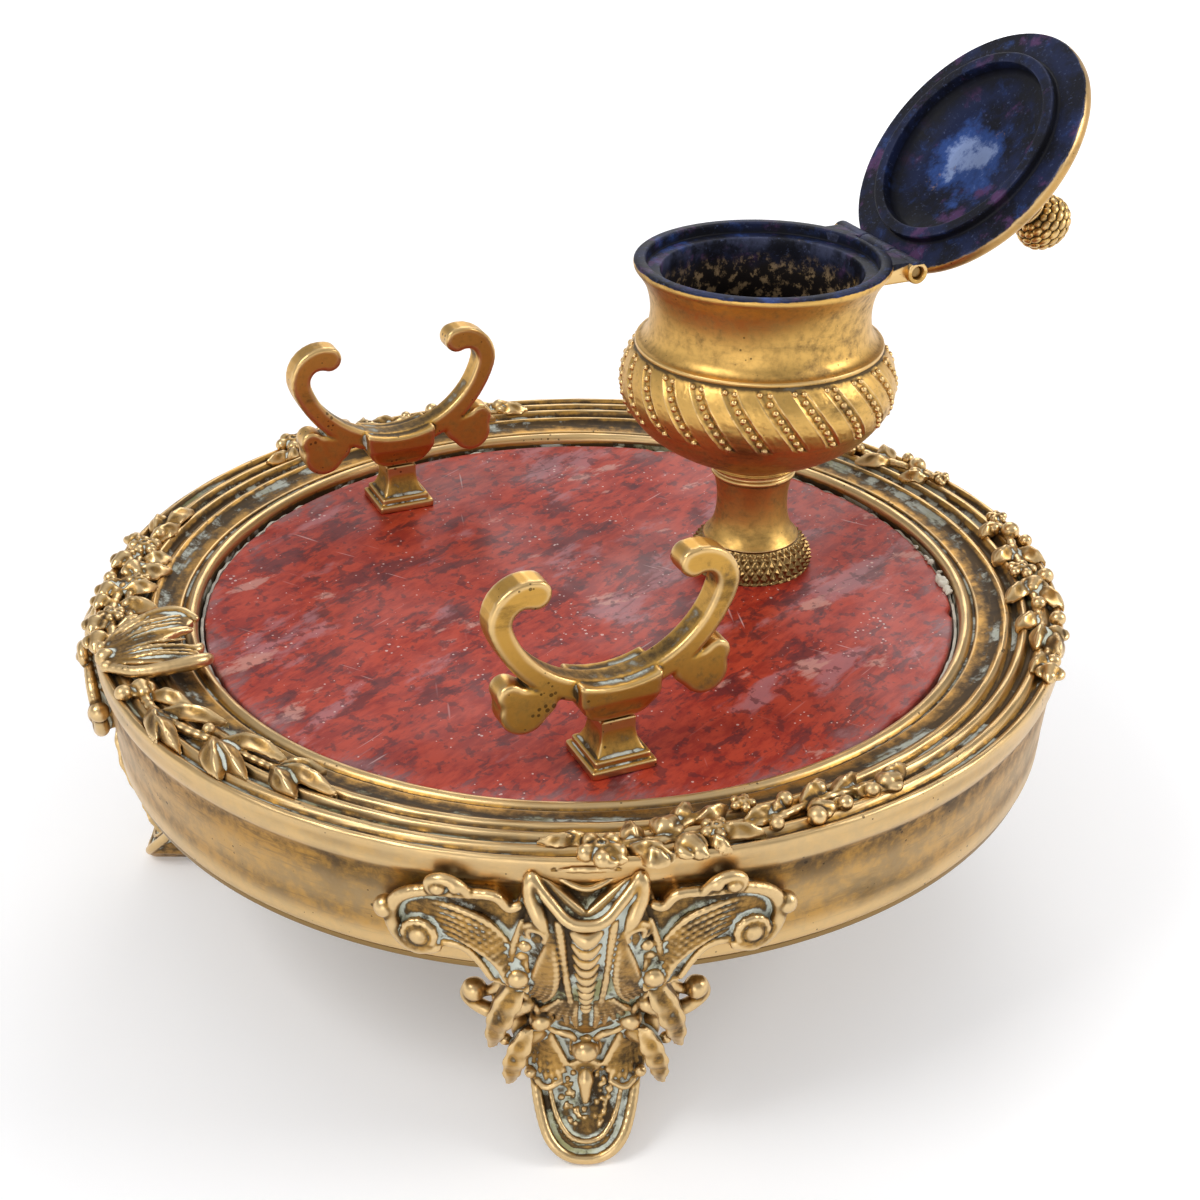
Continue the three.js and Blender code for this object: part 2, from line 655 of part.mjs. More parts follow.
// A rod that ties a fitting down through the marble, and the nut and washer below it.
function tieParts(radius, top) {
  const washerBottom = underMarble - washer.height;
  const nutTop = washerBottom - seatGap;
  const bore = radius + boreGap;
  return {
    rod: disc(radius, nutTop - nut.height - radius, top, facets.small),
    washer: disc(radius + washer.wall, washerBottom, underMarble, facets.fine, bore),
    nut: disc(radius + nut.wall, nutTop - nut.height, nutTop, 6).subtract(
      disc(bore, nutTop - nut.height - overrun, nutTop + overrun, facets.small),
    ),
  };
}

// Cast mounts on the rim

const garlandRadius = seatRadius + garlandLineShare * rim.width;
const onRim = (azimuth, radius, height) => [
  radius * Math.cos(radians(azimuth)),
  radius * Math.sin(radians(azimuth)),
  height,
];

// What a mount has to stay clear of: the tray below a smooth skin over the moulding.
function mouldingEnvelope() {
  const skin = rim.crest + seatGap;
  const [shoulder] = mouldingPoints.at(-2);
  return turned(
    [
      [0, -rim.depth],
      [rimRadius + seatGap, -rim.depth],
      [rimRadius + seatGap, outerEdge],
      [shoulder + seatGap, skin],
      [garlandRadius - leaf.width, skin],
      [seatRadius, innerEdge + rim.roof],
      [0, innerEdge + rim.roof],
    ],
    facets.tray,
  );
}

function rimLeaf(azimuth, radius, heading, size) {
  const turn = [0, 0, radians(azimuth + heading)];
  const scale = [(leaf.width / leaf.length) * size, size, (leaf.height / leaf.length) * size];
  return ball(leaf.length / 2, onRim(azimuth, radius, rim.crest), 5, 4, scale, turn);
}

function rimFlower(azimuth, radius) {
  const petals = outline(
    Array.from({ length: 2 * flower.petals }, (_, i) => {
      const reach = flower.radius * (i % 2 === 0 ? flowerNotchShare : 1);
      const angle = (Math.PI * i) / flower.petals;
      return [reach * Math.cos(angle), reach * Math.sin(angle)];
    }),
  );
  const rosette = new THREE.ExtrudeGeometry(petals, { depth: flower.height, bevelEnabled: false });
  const heart = ball(flower.heart, onRim(azimuth, radius, rim.crest + flower.height), 5, 3);
  return solid(rosette.translate(...onRim(azimuth, radius, rim.crest))).add(heart);
}

function stalkArc(from, to) {
  const points = Array.from({ length: garland.steps + 1 }, (_, i) => {
    const azimuth = from + ((to - from) * i) / garland.steps;
    return new THREE.Vector3(...onRim(azimuth, garlandRadius, rim.crest + stalk / 2));
  });
  const path = new THREE.CatmullRomCurve3(points);
  const section = new THREE.Shape().absarc(0, 0, stalk, 0, 2 * Math.PI);
  const bar = { steps: 2 * garland.steps, curveSegments: 2, extrudePath: path };
  return solid(new THREE.ExtrudeGeometry(section, bar));
}

function rimGarland({ fromAngle, toAngle, flowersShare }) {
  const parts = [stalkArc(fromAngle, toAngle)];
  const forward = toAngle > fromAngle ? 1 : -1;
  for (let i = 0; i <= garland.steps; i++) {
    const along = i / garland.steps;
    const azimuth = fromAngle + (toAngle - fromAngle) * along;
    if (along <= flowersShare) {
      const inwards = i % 2 === 0 ? flower.radius / 2 : -flower.radius / 2;
      parts.push(rimFlower(azimuth, garlandRadius + inwards));
      parts.push(rimLeaf(azimuth, garlandRadius - 2 * inwards, 90, flowerLeafShare));
    } else {
      const size = firstLeafShare - leafShrinkShare * along;
      for (const side of [1, -1]) {
        const radius = garlandRadius + (side * leaf.width) / 2;
        parts.push(rimLeaf(azimuth, radius, -side * garland.leafAngle * forward, size));
      }
    }
  }
  return joined(parts).subtract(mouldingEnvelope());
}

function bowMount() {
  const start = rimRadius - bow.inset;
  const half = bow.length / 2;
  const blades = Array.from({ length: bow.blades }, (_, i) => {
    const angle = radians(180 - bow.spreadAngle / 2 + (bow.spreadAngle * i) / (bow.blades - 1));
    const scale = [1, bow.width / bow.length, bow.height / bow.length];
    const lens = new THREE.SphereGeometry(half, 6, 6).rotateZ(Math.PI / 2).scale(...scale);
    const away = half * (1 - bowKnotShare);
    lens.rotateZ(angle).translate(start + away * Math.cos(angle), away * Math.sin(angle), rim.crest);
    return solid(lens);
  });
  return joined([ball(bow.knot, [start, 0, rim.crest], 8, 6), ...blades]).subtract(mouldingEnvelope());
}

// The assembly

addPiece("marble_top", marbleTop(), "marble");
addPiece("plaster_bedding", plasterBed(), "plaster");
addPiece("rim_casting", rimCasting(), "gilt");
addPiece("base_plate", basePlateDisc(), "bronze");

screwAzimuths.forEach((azimuth, i) => {
  const [x, y] = onRim(azimuth, lugMiddle, 0);
  const body = screw(baseScrew.radius, baseScrew.length, baseScrew.head, baseScrew.headHeight);
  addPiece(`base_screw_${i + 1}`, body, "iron", { place: [x, y, plateBottom - seatGap] });
});

foot.angles.forEach((azimuth, i) => {
  addPiece(`foot_${i + 1}`, castFoot(), "gilt", { azimuth });
  [-1, 1].forEach((side, j) => {
    const body = footScrewBody().translate([0, side * footScrew.spread, -footScrew.height]);
    addPiece(`foot_${i + 1}_screw_${j + 1}`, body, "iron", { azimuth });
  });
});

for (const [name, span] of Object.entries(garlands)) addPiece(name, rimGarland(span), "gilt");
addPiece("bow_mount", bowMount(), "gilt", { azimuth: -90 });

const inkwell = new THREE.Group();
inkwell.position.y = well.back;
inkstand.add(inkwell);
addPiece("inkwell_foot_ring", inkwellFootRing(), "bronze", { parent: inkwell });
addPiece("inkwell_stem", inkwellStem(), "gilt", { parent: inkwell });
addPiece("inkwell_bowl", inkwellBowl(), "gilt", { parent: inkwell });
const wellTie = tieParts(tieRod.radius, bowlFoot + tieRod.intoBowl - seatGap);
addPiece("inkwell_tie_rod", wellTie.rod, "iron", { parent: inkwell });
addPiece("inkwell_washer", wellTie.washer, "iron", { parent: inkwell });
addPiece("inkwell_nut", wellTie.nut, "iron", { parent: inkwell });

const hingeGroup = new THREE.Group();
hingeGroup.position.set(0, hingeReach, hingeHeight);
inkwell.add(hingeGroup);
const pinEnd = barrelEnd - hinge.recess;
addPiece("hinge_pin", barAlongX(hinge.pin, -pinEnd, pinEnd, facets.fine), "stained", { parent: hingeGroup });
const openLid = new THREE.Group();
openLid.rotation.x = -radians(openAngle);
hingeGroup.add(openLid);
addPiece("lid", lidBody(), "stained", { parent: openLid });
addPiece("lid_knob", lidKnob(), "gilt", { parent: openLid });

restPlaces.forEach(([x, y], i) => {
  const side = ["right", "left"][i];
  const parent = new THREE.Group();
  parent.position.set(x, y, 0);
  inkstand.add(parent);
  const tie = tieParts(stud.radius, bossFoot + stud.intoBoss - seatGap);
  addPiece(`pen_rest_${side}`, restCradle(), "gilt", { parent });
  addPiece(`pen_rest_pedestal_${side}`, restPedestal(), "gilt", { parent });
  addPiece(`pen_rest_stud_${side}`, tie.rod, "iron", { parent });
  addPiece(`pen_rest_washer_${side}`, tie.washer, "iron", { parent });
  addPiece(`pen_rest_nut_${side}`, tie.nut, "iron", { parent });
});

export default inkstand;
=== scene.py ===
"""Looks of a round gilt-bronze desk inkstand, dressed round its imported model.

Shapes are written in millimetres, as a maker would measure them, and become metres when a skin
turns into an object. Heights are over the marble's top face, and radii are from its middle.
"""

import logging
import math
from collections.abc import Callable, Sequence
from dataclasses import dataclass, field
from enum import Enum

import bpy
import numpy as np
from mathutils import Matrix, Vector


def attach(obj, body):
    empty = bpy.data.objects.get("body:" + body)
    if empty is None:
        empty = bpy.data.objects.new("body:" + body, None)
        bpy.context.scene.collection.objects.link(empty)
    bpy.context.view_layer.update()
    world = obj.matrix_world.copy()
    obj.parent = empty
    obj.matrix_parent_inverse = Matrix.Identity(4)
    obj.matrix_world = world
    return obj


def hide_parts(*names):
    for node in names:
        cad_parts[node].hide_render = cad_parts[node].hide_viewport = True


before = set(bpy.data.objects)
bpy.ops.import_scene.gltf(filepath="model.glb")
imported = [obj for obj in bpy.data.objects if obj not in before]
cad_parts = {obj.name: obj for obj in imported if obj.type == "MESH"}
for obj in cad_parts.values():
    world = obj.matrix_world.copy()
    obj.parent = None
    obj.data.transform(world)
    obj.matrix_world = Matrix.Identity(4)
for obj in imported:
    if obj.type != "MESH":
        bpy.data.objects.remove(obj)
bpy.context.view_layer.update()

MM = 0.001
log = logging.getLogger("inkstand")

Array = np.ndarray
Color = tuple[float, float, float]


# Skins: points and faces, before they become objects


@dataclass
class Skin:
    """Points in millimetres and the faces between them.

    Args:
        points: One row of x, y and z for each point.
        faces: Blocks of faces, each block with as many columns as its faces have corners.
    """

    points: Array
    faces: list[Array]

    def moved(self, turn: Array, place: Sequence[float] = (0, 0, 0)) -> "Skin":
        """Turn the skin by a matrix whose columns are its new axes, then shift it."""
        return Skin(self.points @ np.asarray(turn, float).T + np.asarray(place, float), self.faces)

    def shifted(self, place: Sequence[float]) -> "Skin":
        """Shift the skin."""
        return self.moved(np.eye(3), place)

    def outward(self) -> "Skin":
        """Turn all faces round if they enclose a negative volume.

        Returns:
            The skin with its faces outward.
        """
        volume = 0.0
        for block in self.faces:
            corner = self.points[block]
            for i in range(1, block.shape[1] - 1):
                volume += np.einsum("ij,ij->", corner[:, 0], np.cross(corner[:, i], corner[:, i + 1]))
        return self if volume > 0 else Skin(self.points, [b[:, ::-1] for b in self.faces])


def joined(skins: Sequence[Skin]) -> Skin:
    """Put several skins into one.

    Args:
        skins: The skins.

    Returns:
        One skin with all their faces.
    """
    starts = np.cumsum([0, *[len(skin.points) for skin in skins]])
    blocks = [block + start for skin, start in zip(skins, starts) for block in skin.faces]
    return Skin(np.concatenate([skin.points for skin in skins]), blocks)


def about_z(degrees: float) -> Array:
    """Give the matrix of a turn about +Z."""
    return np.array(Matrix.Rotation(math.radians(degrees), 3, "Z"))


def about_x(degrees: float) -> Array:
    """Give the matrix of a turn about +X."""
    return np.array(Matrix.Rotation(math.radians(degrees), 3, "X"))


# Takes +Z to +X
ALONG_X = np.array([[0, 0, 1], [0, 1, 0], [-1, 0, 0]], float)
UPWARD = np.array([0.0, 0.0, 1.0])


def flowing(points: Sequence[Sequence[float]], steps: int = 6) -> Array:
    """Give a smooth line through the points.

    Args:
        points: The places that the line passes, in order.
        steps: How many short stretches lie between two places.

    Returns:
        The places on the line, one row each.
    """
    given = np.asarray(points, float)
    padded = np.vstack([2 * given[0] - given[1], given, 2 * given[-1] - given[-2]])
    t = np.linspace(0, 1, steps, endpoint=False)[:, None]
    parts = []
    for a, b, c, d in zip(padded, padded[1:], padded[2:], padded[3:]):
        bend, twist = 2 * a - 5 * b + 4 * c - d, 3 * b - a - 3 * c + d
        parts.append(0.5 * (2 * b + (c - a) * t + bend * t**2 + twist * t**3))
    return np.vstack([*parts, given[-1:]])


def eased(points: Sequence[Sequence[float]], radius: float, steps: int = 3) -> Array:
    """Round each inner corner of an open line.

    Args:
        points: The line's corners.
        radius: How far from a corner the rounding starts.
        steps: How many short stretches make one rounding.

    Returns:
        The corners of the rounded line.
    """
    given = np.asarray(points, float)
    made = [given[:1]]
    for a, b, c in zip(given, given[1:], given[2:]):
        back, on = a - b, c - b
        start = b + back * min(radius / max(np.linalg.norm(back), 1e-9), 0.45)
        end = b + on * min(radius / max(np.linalg.norm(on), 1e-9), 0.45)
        t = np.linspace(0, 1, steps + 1)[:, None]
        made.append((1 - t) ** 2 * start + 2 * t * (1 - t) * b + t**2 * end)
    return np.vstack([*made, given[-1:]])


Relief = Callable[[Array, Array, Array], tuple[Array, Array]]


def between(lower: Array, upper: Array) -> Array:
    """Give the quads between rings of point numbers and the rings over them."""
    return np.stack([lower, np.roll(lower, -1, 1), np.roll(upper, -1, 1), upper], -1).reshape(-1, 4)


def lathe(profile: Array, segments: int, relief: Relief | None = None) -> Skin:
    """Turn a profile about +Z.

    Args:
        profile: Rows of radius and height. It closes on itself, or starts and ends on the axis.
        segments: How many facets go round.
        relief: Takes radii, heights and azimuths in radians, and gives new radii and heights.

    Returns:
        The closed skin.
    """
    turn = np.arange(segments) * 2 * math.pi / segments
    on_axis = profile[0][0] < 1e-6 and profile[-1][0] < 1e-6
    rows = profile[1:-1] if on_axis else profile
    radius = np.repeat(rows[:, :1], segments, 1)
    height = np.repeat(rows[:, 1:], segments, 1)
    angle = np.repeat(turn[None, :], len(rows), 0)
    if relief:
        radius, height = relief(radius, height, angle)
    points = np.stack([radius * np.cos(angle), radius * np.sin(angle), height], -1).reshape(-1, 3)
    index = np.arange(len(rows) * segments).reshape(len(rows), segments)
    upper = index[1:] if on_axis else np.roll(index, -1, 0)
    lower = index[:-1] if on_axis else index
    faces = [between(lower, upper)]
    if on_axis:
        first, last = len(points), len(points) + 1
        points = np.vstack([points, [0, 0, profile[0][1]], [0, 0, profile[-1][1]]])
        low, high = index[0], index[-1]
        faces.append(np.stack([np.full(segments, first), np.roll(low, -1), low], -1))
        faces.append(np.stack([np.full(segments, last), high, np.roll(high, -1)], -1))
    return Skin(points, faces).outward()


def barrel(bore: float, radius: float, low: float, high: float) -> Skin:
    """Make a hinge knuckle about +Z, with its bore, from one height to another."""
    section = [(bore, low), (radius, low), (radius, high), (bore, high), (bore, low)]
    return lathe(eased(section, 0.3)[:-1], 40)


def prism(outline: Sequence[Sequence[float]], low: float, high: float, ease: float) -> Skin:
    """Raise a convex outline from one height to another, with eased edges.

    Args:
        outline: Corners in x and y, anticlockwise.
        low: Height of the under face.
        high: Height of the upper face.
        ease: How wide the bevel is.

    Returns:
        The closed skin.
    """
    corners = np.asarray(outline, float)
    middle = corners.mean(0)
    shrunk = corners + (middle - corners) * (ease / np.linalg.norm(corners - middle, axis=1))[:, None]
    levels = [(shrunk, low), (corners, low + ease), (corners, high - ease), (shrunk, high)]
    rings = [np.column_stack([ring, np.full(len(ring), z)]) for ring, z in levels]
    count = len(corners)
    index = np.arange(len(levels) * count).reshape(len(levels), count)
    caps = [index[0][::-1][None, :], index[-1][None, :]]
    return Skin(np.vstack(rings), [between(index[:-1], index[1:]), *caps]).outward()


def ball(place: Sequence[float], radius: float, around: int = 12, rows: int = 8) -> Skin:
    """Make a small ball, such as a bead.

    Args:
        place: Its middle.
        radius: Its radius.
        around: How many facets go round.
        rows: How many rows of facets it has.

    Returns:
        The closed skin.
    """
    angle = np.linspace(-math.pi / 2, math.pi / 2, rows + 1)
    profile = np.column_stack([radius * np.cos(angle), radius * np.sin(angle)])
    profile[[0, -1], 0] = 0
    return lathe(profile, around).shifted(place)


def hollows(
    skin: Skin,
    passes: tuple[int, int] = (8, 40),
    weights: tuple[float, float] = (1.0, 0.4),
    pull: float = 0.6,
) -> Array:
    """Say how sunk the skin is at each point, against a smoothed copy of itself.

    Args:
        skin: The skin.
        passes: How many times it is smoothed for the fine and for the broad view.
        weights: How much each of the two views counts.
        pull: How far one smoothing moves a point towards its neighbours' mean.

    Returns:
        Millimetres at each point, more than zero in a hollow and less on an edge.
    """
    count = len(skin.points)
    pairs, normals = [], np.zeros((count, 3))
    for block in skin.faces:
        corner = skin.points[block]
        facing = np.cross(corner[:, 2] - corner[:, 0], corner[:, -1] - corner[:, 1])
        for i in range(block.shape[1]):
            pairs.append(block[:, [i, (i + 1) % block.shape[1]]])
            for k in range(3):
                normals[:, k] += np.bincount(block[:, i], facing[:, k], count)
    normals /= np.linalg.norm(normals, axis=1)[:, None] + 1e-12
    edges = np.vstack(pairs)
    start, end = np.concatenate([edges, edges[:, ::-1]]).T
    degree = np.maximum(np.bincount(start, minlength=count), 1)[:, None]
    smooth, found = skin.points.copy(), np.zeros(count)
    for number in range(1, passes[1] + 1):
        mean = np.stack([np.bincount(start, smooth[end, k], count) for k in range(3)], -1) / degree
        smooth += pull * (mean - smooth)
        if number in passes:
            weight = weights[passes.index(number)]
            found += weight * np.einsum("ij,ij->i", smooth - skin.points, normals)
    return found


# Clay: a block of distances from which castings are cut


Distance = Callable[[Array], Array]


@dataclass
class Form:
    """A solid form given by the distance to its surface, less than zero inside.

    Args:
        low: Lowest corner of the box that holds it.
        high: Highest corner of that box.
        distance: Takes points, with x, y and z last, and gives their distances.
    """

    low: Sequence[float]
    high: Sequence[float]
    distance: Distance


def furthest(parts: Sequence[Array], blend: float) -> Array:
    """Give the greatest of several distances, with a fillet where two are alike.

    Args:
        parts: The distances.
        blend: The fillet's size.

    Returns:
        The distance to what the forms have in common.
    """
    whole = parts[0]
    for part in parts[1:]:
        near = np.maximum(blend - np.abs(whole - part), 0) / max(blend, 1e-6)
        whole = np.maximum(whole, part) + near**2 * blend / 4
    return whole


def round_form(place: Sequence[float], radius: float) -> Form:
    """Give a ball."""
    middle = np.asarray(place, float)
    return Form(middle - radius, middle + radius, lambda p: np.linalg.norm(p - middle, axis=-1) - radius)


def rod_form(start: Sequence[float], end: Sequence[float], first: float, last: float) -> Form:
    """Give a straight rod with round ends.

    Args:
        start: Where it starts.
        end: Where it ends.
        first: Its radius at the start.
        last: Its radius at the end.

    Returns:
        The rod.
    """
    a, b = np.asarray(start, float), np.asarray(end, float)
    wide = max(first, last)
    axis = b - a
    length = float(axis @ axis) + 1e-9

    def distance(p: Array) -> Array:
        """Give the distance to the rod."""
        t = np.clip((p - a) @ axis / length, 0, 1)
        return np.linalg.norm(p - a - t[..., None] * axis, axis=-1) - (first + (last - first) * t)

    return Form(np.minimum(a, b) - wide, np.maximum(a, b) + wide, distance)


def tube_forms(line: Array, radii: Sequence[float]) -> list[Form]:
    """Give rods along a line, with a radius for its start, its end and evenly between."""
    spread = np.interp(np.linspace(0, 1, len(line)), np.linspace(0, 1, len(radii)), radii)
    return [rod_form(*ends) for ends in zip(line, line[1:], spread, spread[1:])]


def outline_distance(outline: Array, u: Array, v: Array) -> Array:
    """Give the distance of points from a closed outline, less than zero inside it.

    Args:
        outline: Its corners, one row each.
        u: First coordinates of the points.
        v: Second coordinates of the points.

    Returns:
        The signed distances.
    """
    nearest = np.full(np.shape(u), 1e9)
    inside = np.zeros(np.shape(u), bool)
    for (a, b), (c, d) in zip(outline, np.roll(outline, -1, 0)):
        t = np.clip(((u - a) * (c - a) + (v - b) * (d - b)) / ((c - a) ** 2 + (d - b) ** 2), 0, 1)
        nearest = np.minimum(nearest, (u - a - t * (c - a)) ** 2 + (v - b - t * (d - b)) ** 2)
        crosses = (b > v) != (d > v)
        if b != d:
            inside ^= crosses & (u < a + (v - b) * (c - a) / (d - b))
    return np.where(inside, -1.0, 1.0) * np.sqrt(nearest)


@dataclass
class Setting:
    """Where a leaf, flower or scroll sits: a place and its own three axes.

    Args:
        place: The origin, in the part's frame.
        along: Unit vector of its length.
        up: Unit vector away from what it lies on.
    """

    place: Array
    along: Array
    up: Array

    @staticmethod
    def between(foot: Array, tip: Array, up: Array) -> tuple["Setting", float]:
        """Give the setting of a leaf that runs from its foot to its tip, and its length."""
        length = float(np.linalg.norm(tip - foot))
        return Setting(foot, (tip - foot) / length, up), length

    def axes(self) -> Array:
        """Give the leaf's own axes.

        Returns:
            The rows along, across and up, at right angles.
        """
        up = self.up / np.linalg.norm(self.up)
        along = self.along - (self.along @ up) * up
        along = along / np.linalg.norm(along)
        return np.array([along, np.cross(up, along), up])

    def world(self, local: Sequence[float]) -> Array:
        """Give the place of a point that is given on these axes."""
        return self.place + np.asarray(local, float) @ self.axes()


@dataclass
class LeafCut:
    """How a leaf is cut.

    Args:
        length: From the stalk to the tip.
        width: Across its widest place.
        thick: Half its thickness at the midrib.
        arch: How far its middle rises.
        lift: How far its tip rises.
        cup: How far its sides fall.
        belly: Where it is widest, as a share of its length.
        rib: How much the midrib stands up, or less than zero for a groove.
        veins: How many side veins it has.
        vein_depth: How deep they are, as a share of the thickness.
        lobes: How deep its edge is notched, as a share of its width.
    """

    length: float
    width: float
    thick: float = 0.9
    arch: float = 0.8
    lift: float = 0.0
    cup: float = 0.5
    belly: float = 0.42
    rib: float = -0.45
    veins: int = 0
    vein_depth: float = 0.0
    lobes: float = 0.0


def leaf_form(setting: Setting, cut: LeafCut) -> Form:
    """Give a leaf that lies along its setting's first axis.

    Args:
        setting: Where it sits.
        cut: How it is cut.

    Returns:
        The leaf.
    """
    axes = setting.axes()
    half = cut.width / 2
    power = math.log(0.5) / math.log(cut.belly)

    def distance(p: Array) -> Array:
        """Give about the distance to the leaf."""
        q = (p - setting.place) @ axes.T
        share = np.clip(q[..., 0] / cut.length, 0.015, 0.985)
        broad = half * np.sin(math.pi * share**power) ** 0.8
        if cut.lobes:
            broad = broad * (1 - cut.lobes * np.abs(np.sin(math.pi * cut.veins * share)) ** 2)
        broad = np.maximum(broad, 0.12 * half)
        aside = q[..., 1] / broad
        spine = cut.arch * np.sin(math.pi * share) + cut.lift * share**2
        middle = spine - cut.cup * np.minimum(aside**2, 2)
        deep = cut.thick * (0.45 + 0.55 * np.sin(math.pi * share**power))
        upper = 1 + cut.rib * np.exp(-((q[..., 1] / (0.13 * cut.width)) ** 2))
        if cut.veins:
            phase = cut.veins * share - 0.55 * np.abs(aside)
            upper = upper - cut.vein_depth * (0.5 - 0.5 * np.cos(2 * math.pi * phase))
        above = q[..., 2] - middle
        height = above / np.where(above > 0, deep * upper, deep)
        body = (np.sqrt(aside**2 + height**2) - 1) * np.minimum(deep, broad)
        beyond = np.maximum(q[..., 0] - cut.length, 0) + np.maximum(-q[..., 0], 0)
        return np.where(beyond > 0, np.sqrt(np.maximum(body, 0) ** 2 + beyond**2), body)

    reach = cut.thick + abs(cut.arch) + abs(cut.lift) + abs(cut.cup)
    ends = np.array([
        setting.world((x, y, z))
        for x in (0, cut.length) for y in (-half, half) for z in (-reach, reach)
    ])
    return Form(ends.min(0), ends.max(0), distance)


class Clay:
    """A block of distances in a grid, to which forms are added and from which they are cut."""

    FAR = 3.0

    def __init__(self, low: Sequence[float], high: Sequence[float], step: float) -> None:
        """Set up an empty block.

        Args:
            low: Its lowest corner.
            high: Its highest corner.
            step: The grid's spacing.
        """
        self.step = step
        self.low = np.asarray(low, float) - 2 * step
        counts = np.ceil((np.asarray(high, float) + 2 * step - self.low) / step).astype(int) + 1
        self.values = np.full(counts, self.FAR, np.float32)

    def _window(self, form: Form, margin: float) -> tuple[tuple[slice, ...], Array] | None:
        """Give the part of the grid that a form can change.

        Args:
            form: The form.
            margin: How far round it the grid may change.

        Returns:
            The slices of the grid and its points there, or None if it lies outside.
        """
        start = np.floor((np.asarray(form.low) - margin - self.low) / self.step).astype(int)
        stop = np.ceil((np.asarray(form.high) + margin - self.low) / self.step).astype(int) + 1
        start = np.clip(start, 0, self.values.shape)
        stop = np.clip(stop, 0, self.values.shape)
        if np.any(stop <= start):
            return None
        lines = [self.low[k] + self.step * np.arange(start[k], stop[k]) for k in range(3)]
        points = np.stack(np.meshgrid(*lines, indexing="ij"), -1)
        return tuple(slice(a, b) for a, b in zip(start, stop)), points

    def _work(self, forms: Sequence[Form], blend: float, sign: int) -> "Clay":
        """Work forms into the block.

        Args:
            forms: The forms.
            blend: Size of the fillet where they meet the rest.
            sign: 1 to cut them away, -1 to add them.

        Returns:
            The block itself.
        """
        for form in forms:
            found = self._window(form, 2 * self.step + blend)
            if found:
                where, points = found
                met = furthest([-form.distance(points), sign * self.values[where]], blend)
                self.values[where] = sign * met
        return self

    def add(self, *forms: Form, blend: float = 0.35) -> "Clay":
        """Add forms, with a fillet of about the blend's size where they meet."""
        return self._work(forms, blend, -1)

    def cut(self, *forms: Form, blend: float = 0.15) -> "Clay":
        """Cut forms away, with an eased edge."""
        return self._work(forms, blend, 1)

    def skin(self) -> Skin:
        """Draw the surface where the distance is zero, as quads round the grid's cells.

        Returns:
            The closed skin.
        """
        values = self.values
        inside = values < 0
        cells = tuple(n - 1 for n in values.shape)
        total = np.zeros((math.prod(cells), 3))
        count = np.zeros(math.prod(cells))
        quads = []
        for axis in range(3):
            others = [k for k in range(3) if k != axis]
            ahead = np.roll(inside, -1, axis)
            crossing = inside != ahead
            crossing[tuple(slice(-1, None) if k == axis else slice(None) for k in range(3))] = False
            for k in others:
                for end in (slice(0, 1), slice(-1, None)):
                    crossing[tuple(end if m == k else slice(None) for m in range(3))] = False
            at = np.argwhere(crossing)
            here = values[tuple(at.T)]
            there = values[tuple((at + np.eye(3, dtype=int)[axis]).T)]
            place = at.astype(float)
            place[:, axis] += here / (here - there)
            corners = []
            for a, b in ((0, 0), (-1, 0), (-1, -1), (0, -1)):
                cell = at.copy()
                cell[:, others[0]] += a
                cell[:, others[1]] += b
                flat = np.ravel_multi_index(tuple(cell.T), cells)
                count += np.bincount(flat, minlength=len(count))
                for k in range(3):
                    total[:, k] += np.bincount(flat, place[:, k], len(count))
                corners.append(flat)
            quad = np.stack(corners, -1)
            flip = inside[tuple(at.T)] == (axis == 1)
            quad[flip] = quad[flip][:, ::-1]
            quads.append(quad)
        used = np.nonzero(count)[0]
        new_index = np.zeros(len(count), int)
        new_index[used] = np.arange(len(used))
        points = self.low + self.step * total[used] / count[used][:, None]
        return Skin(points, [new_index[np.concatenate(quads)]]).outward()


# Finishes: node groups that several materials share, and one small class for each finish


Socket = bpy.types.NodeSocket
Value = Socket | float | Color


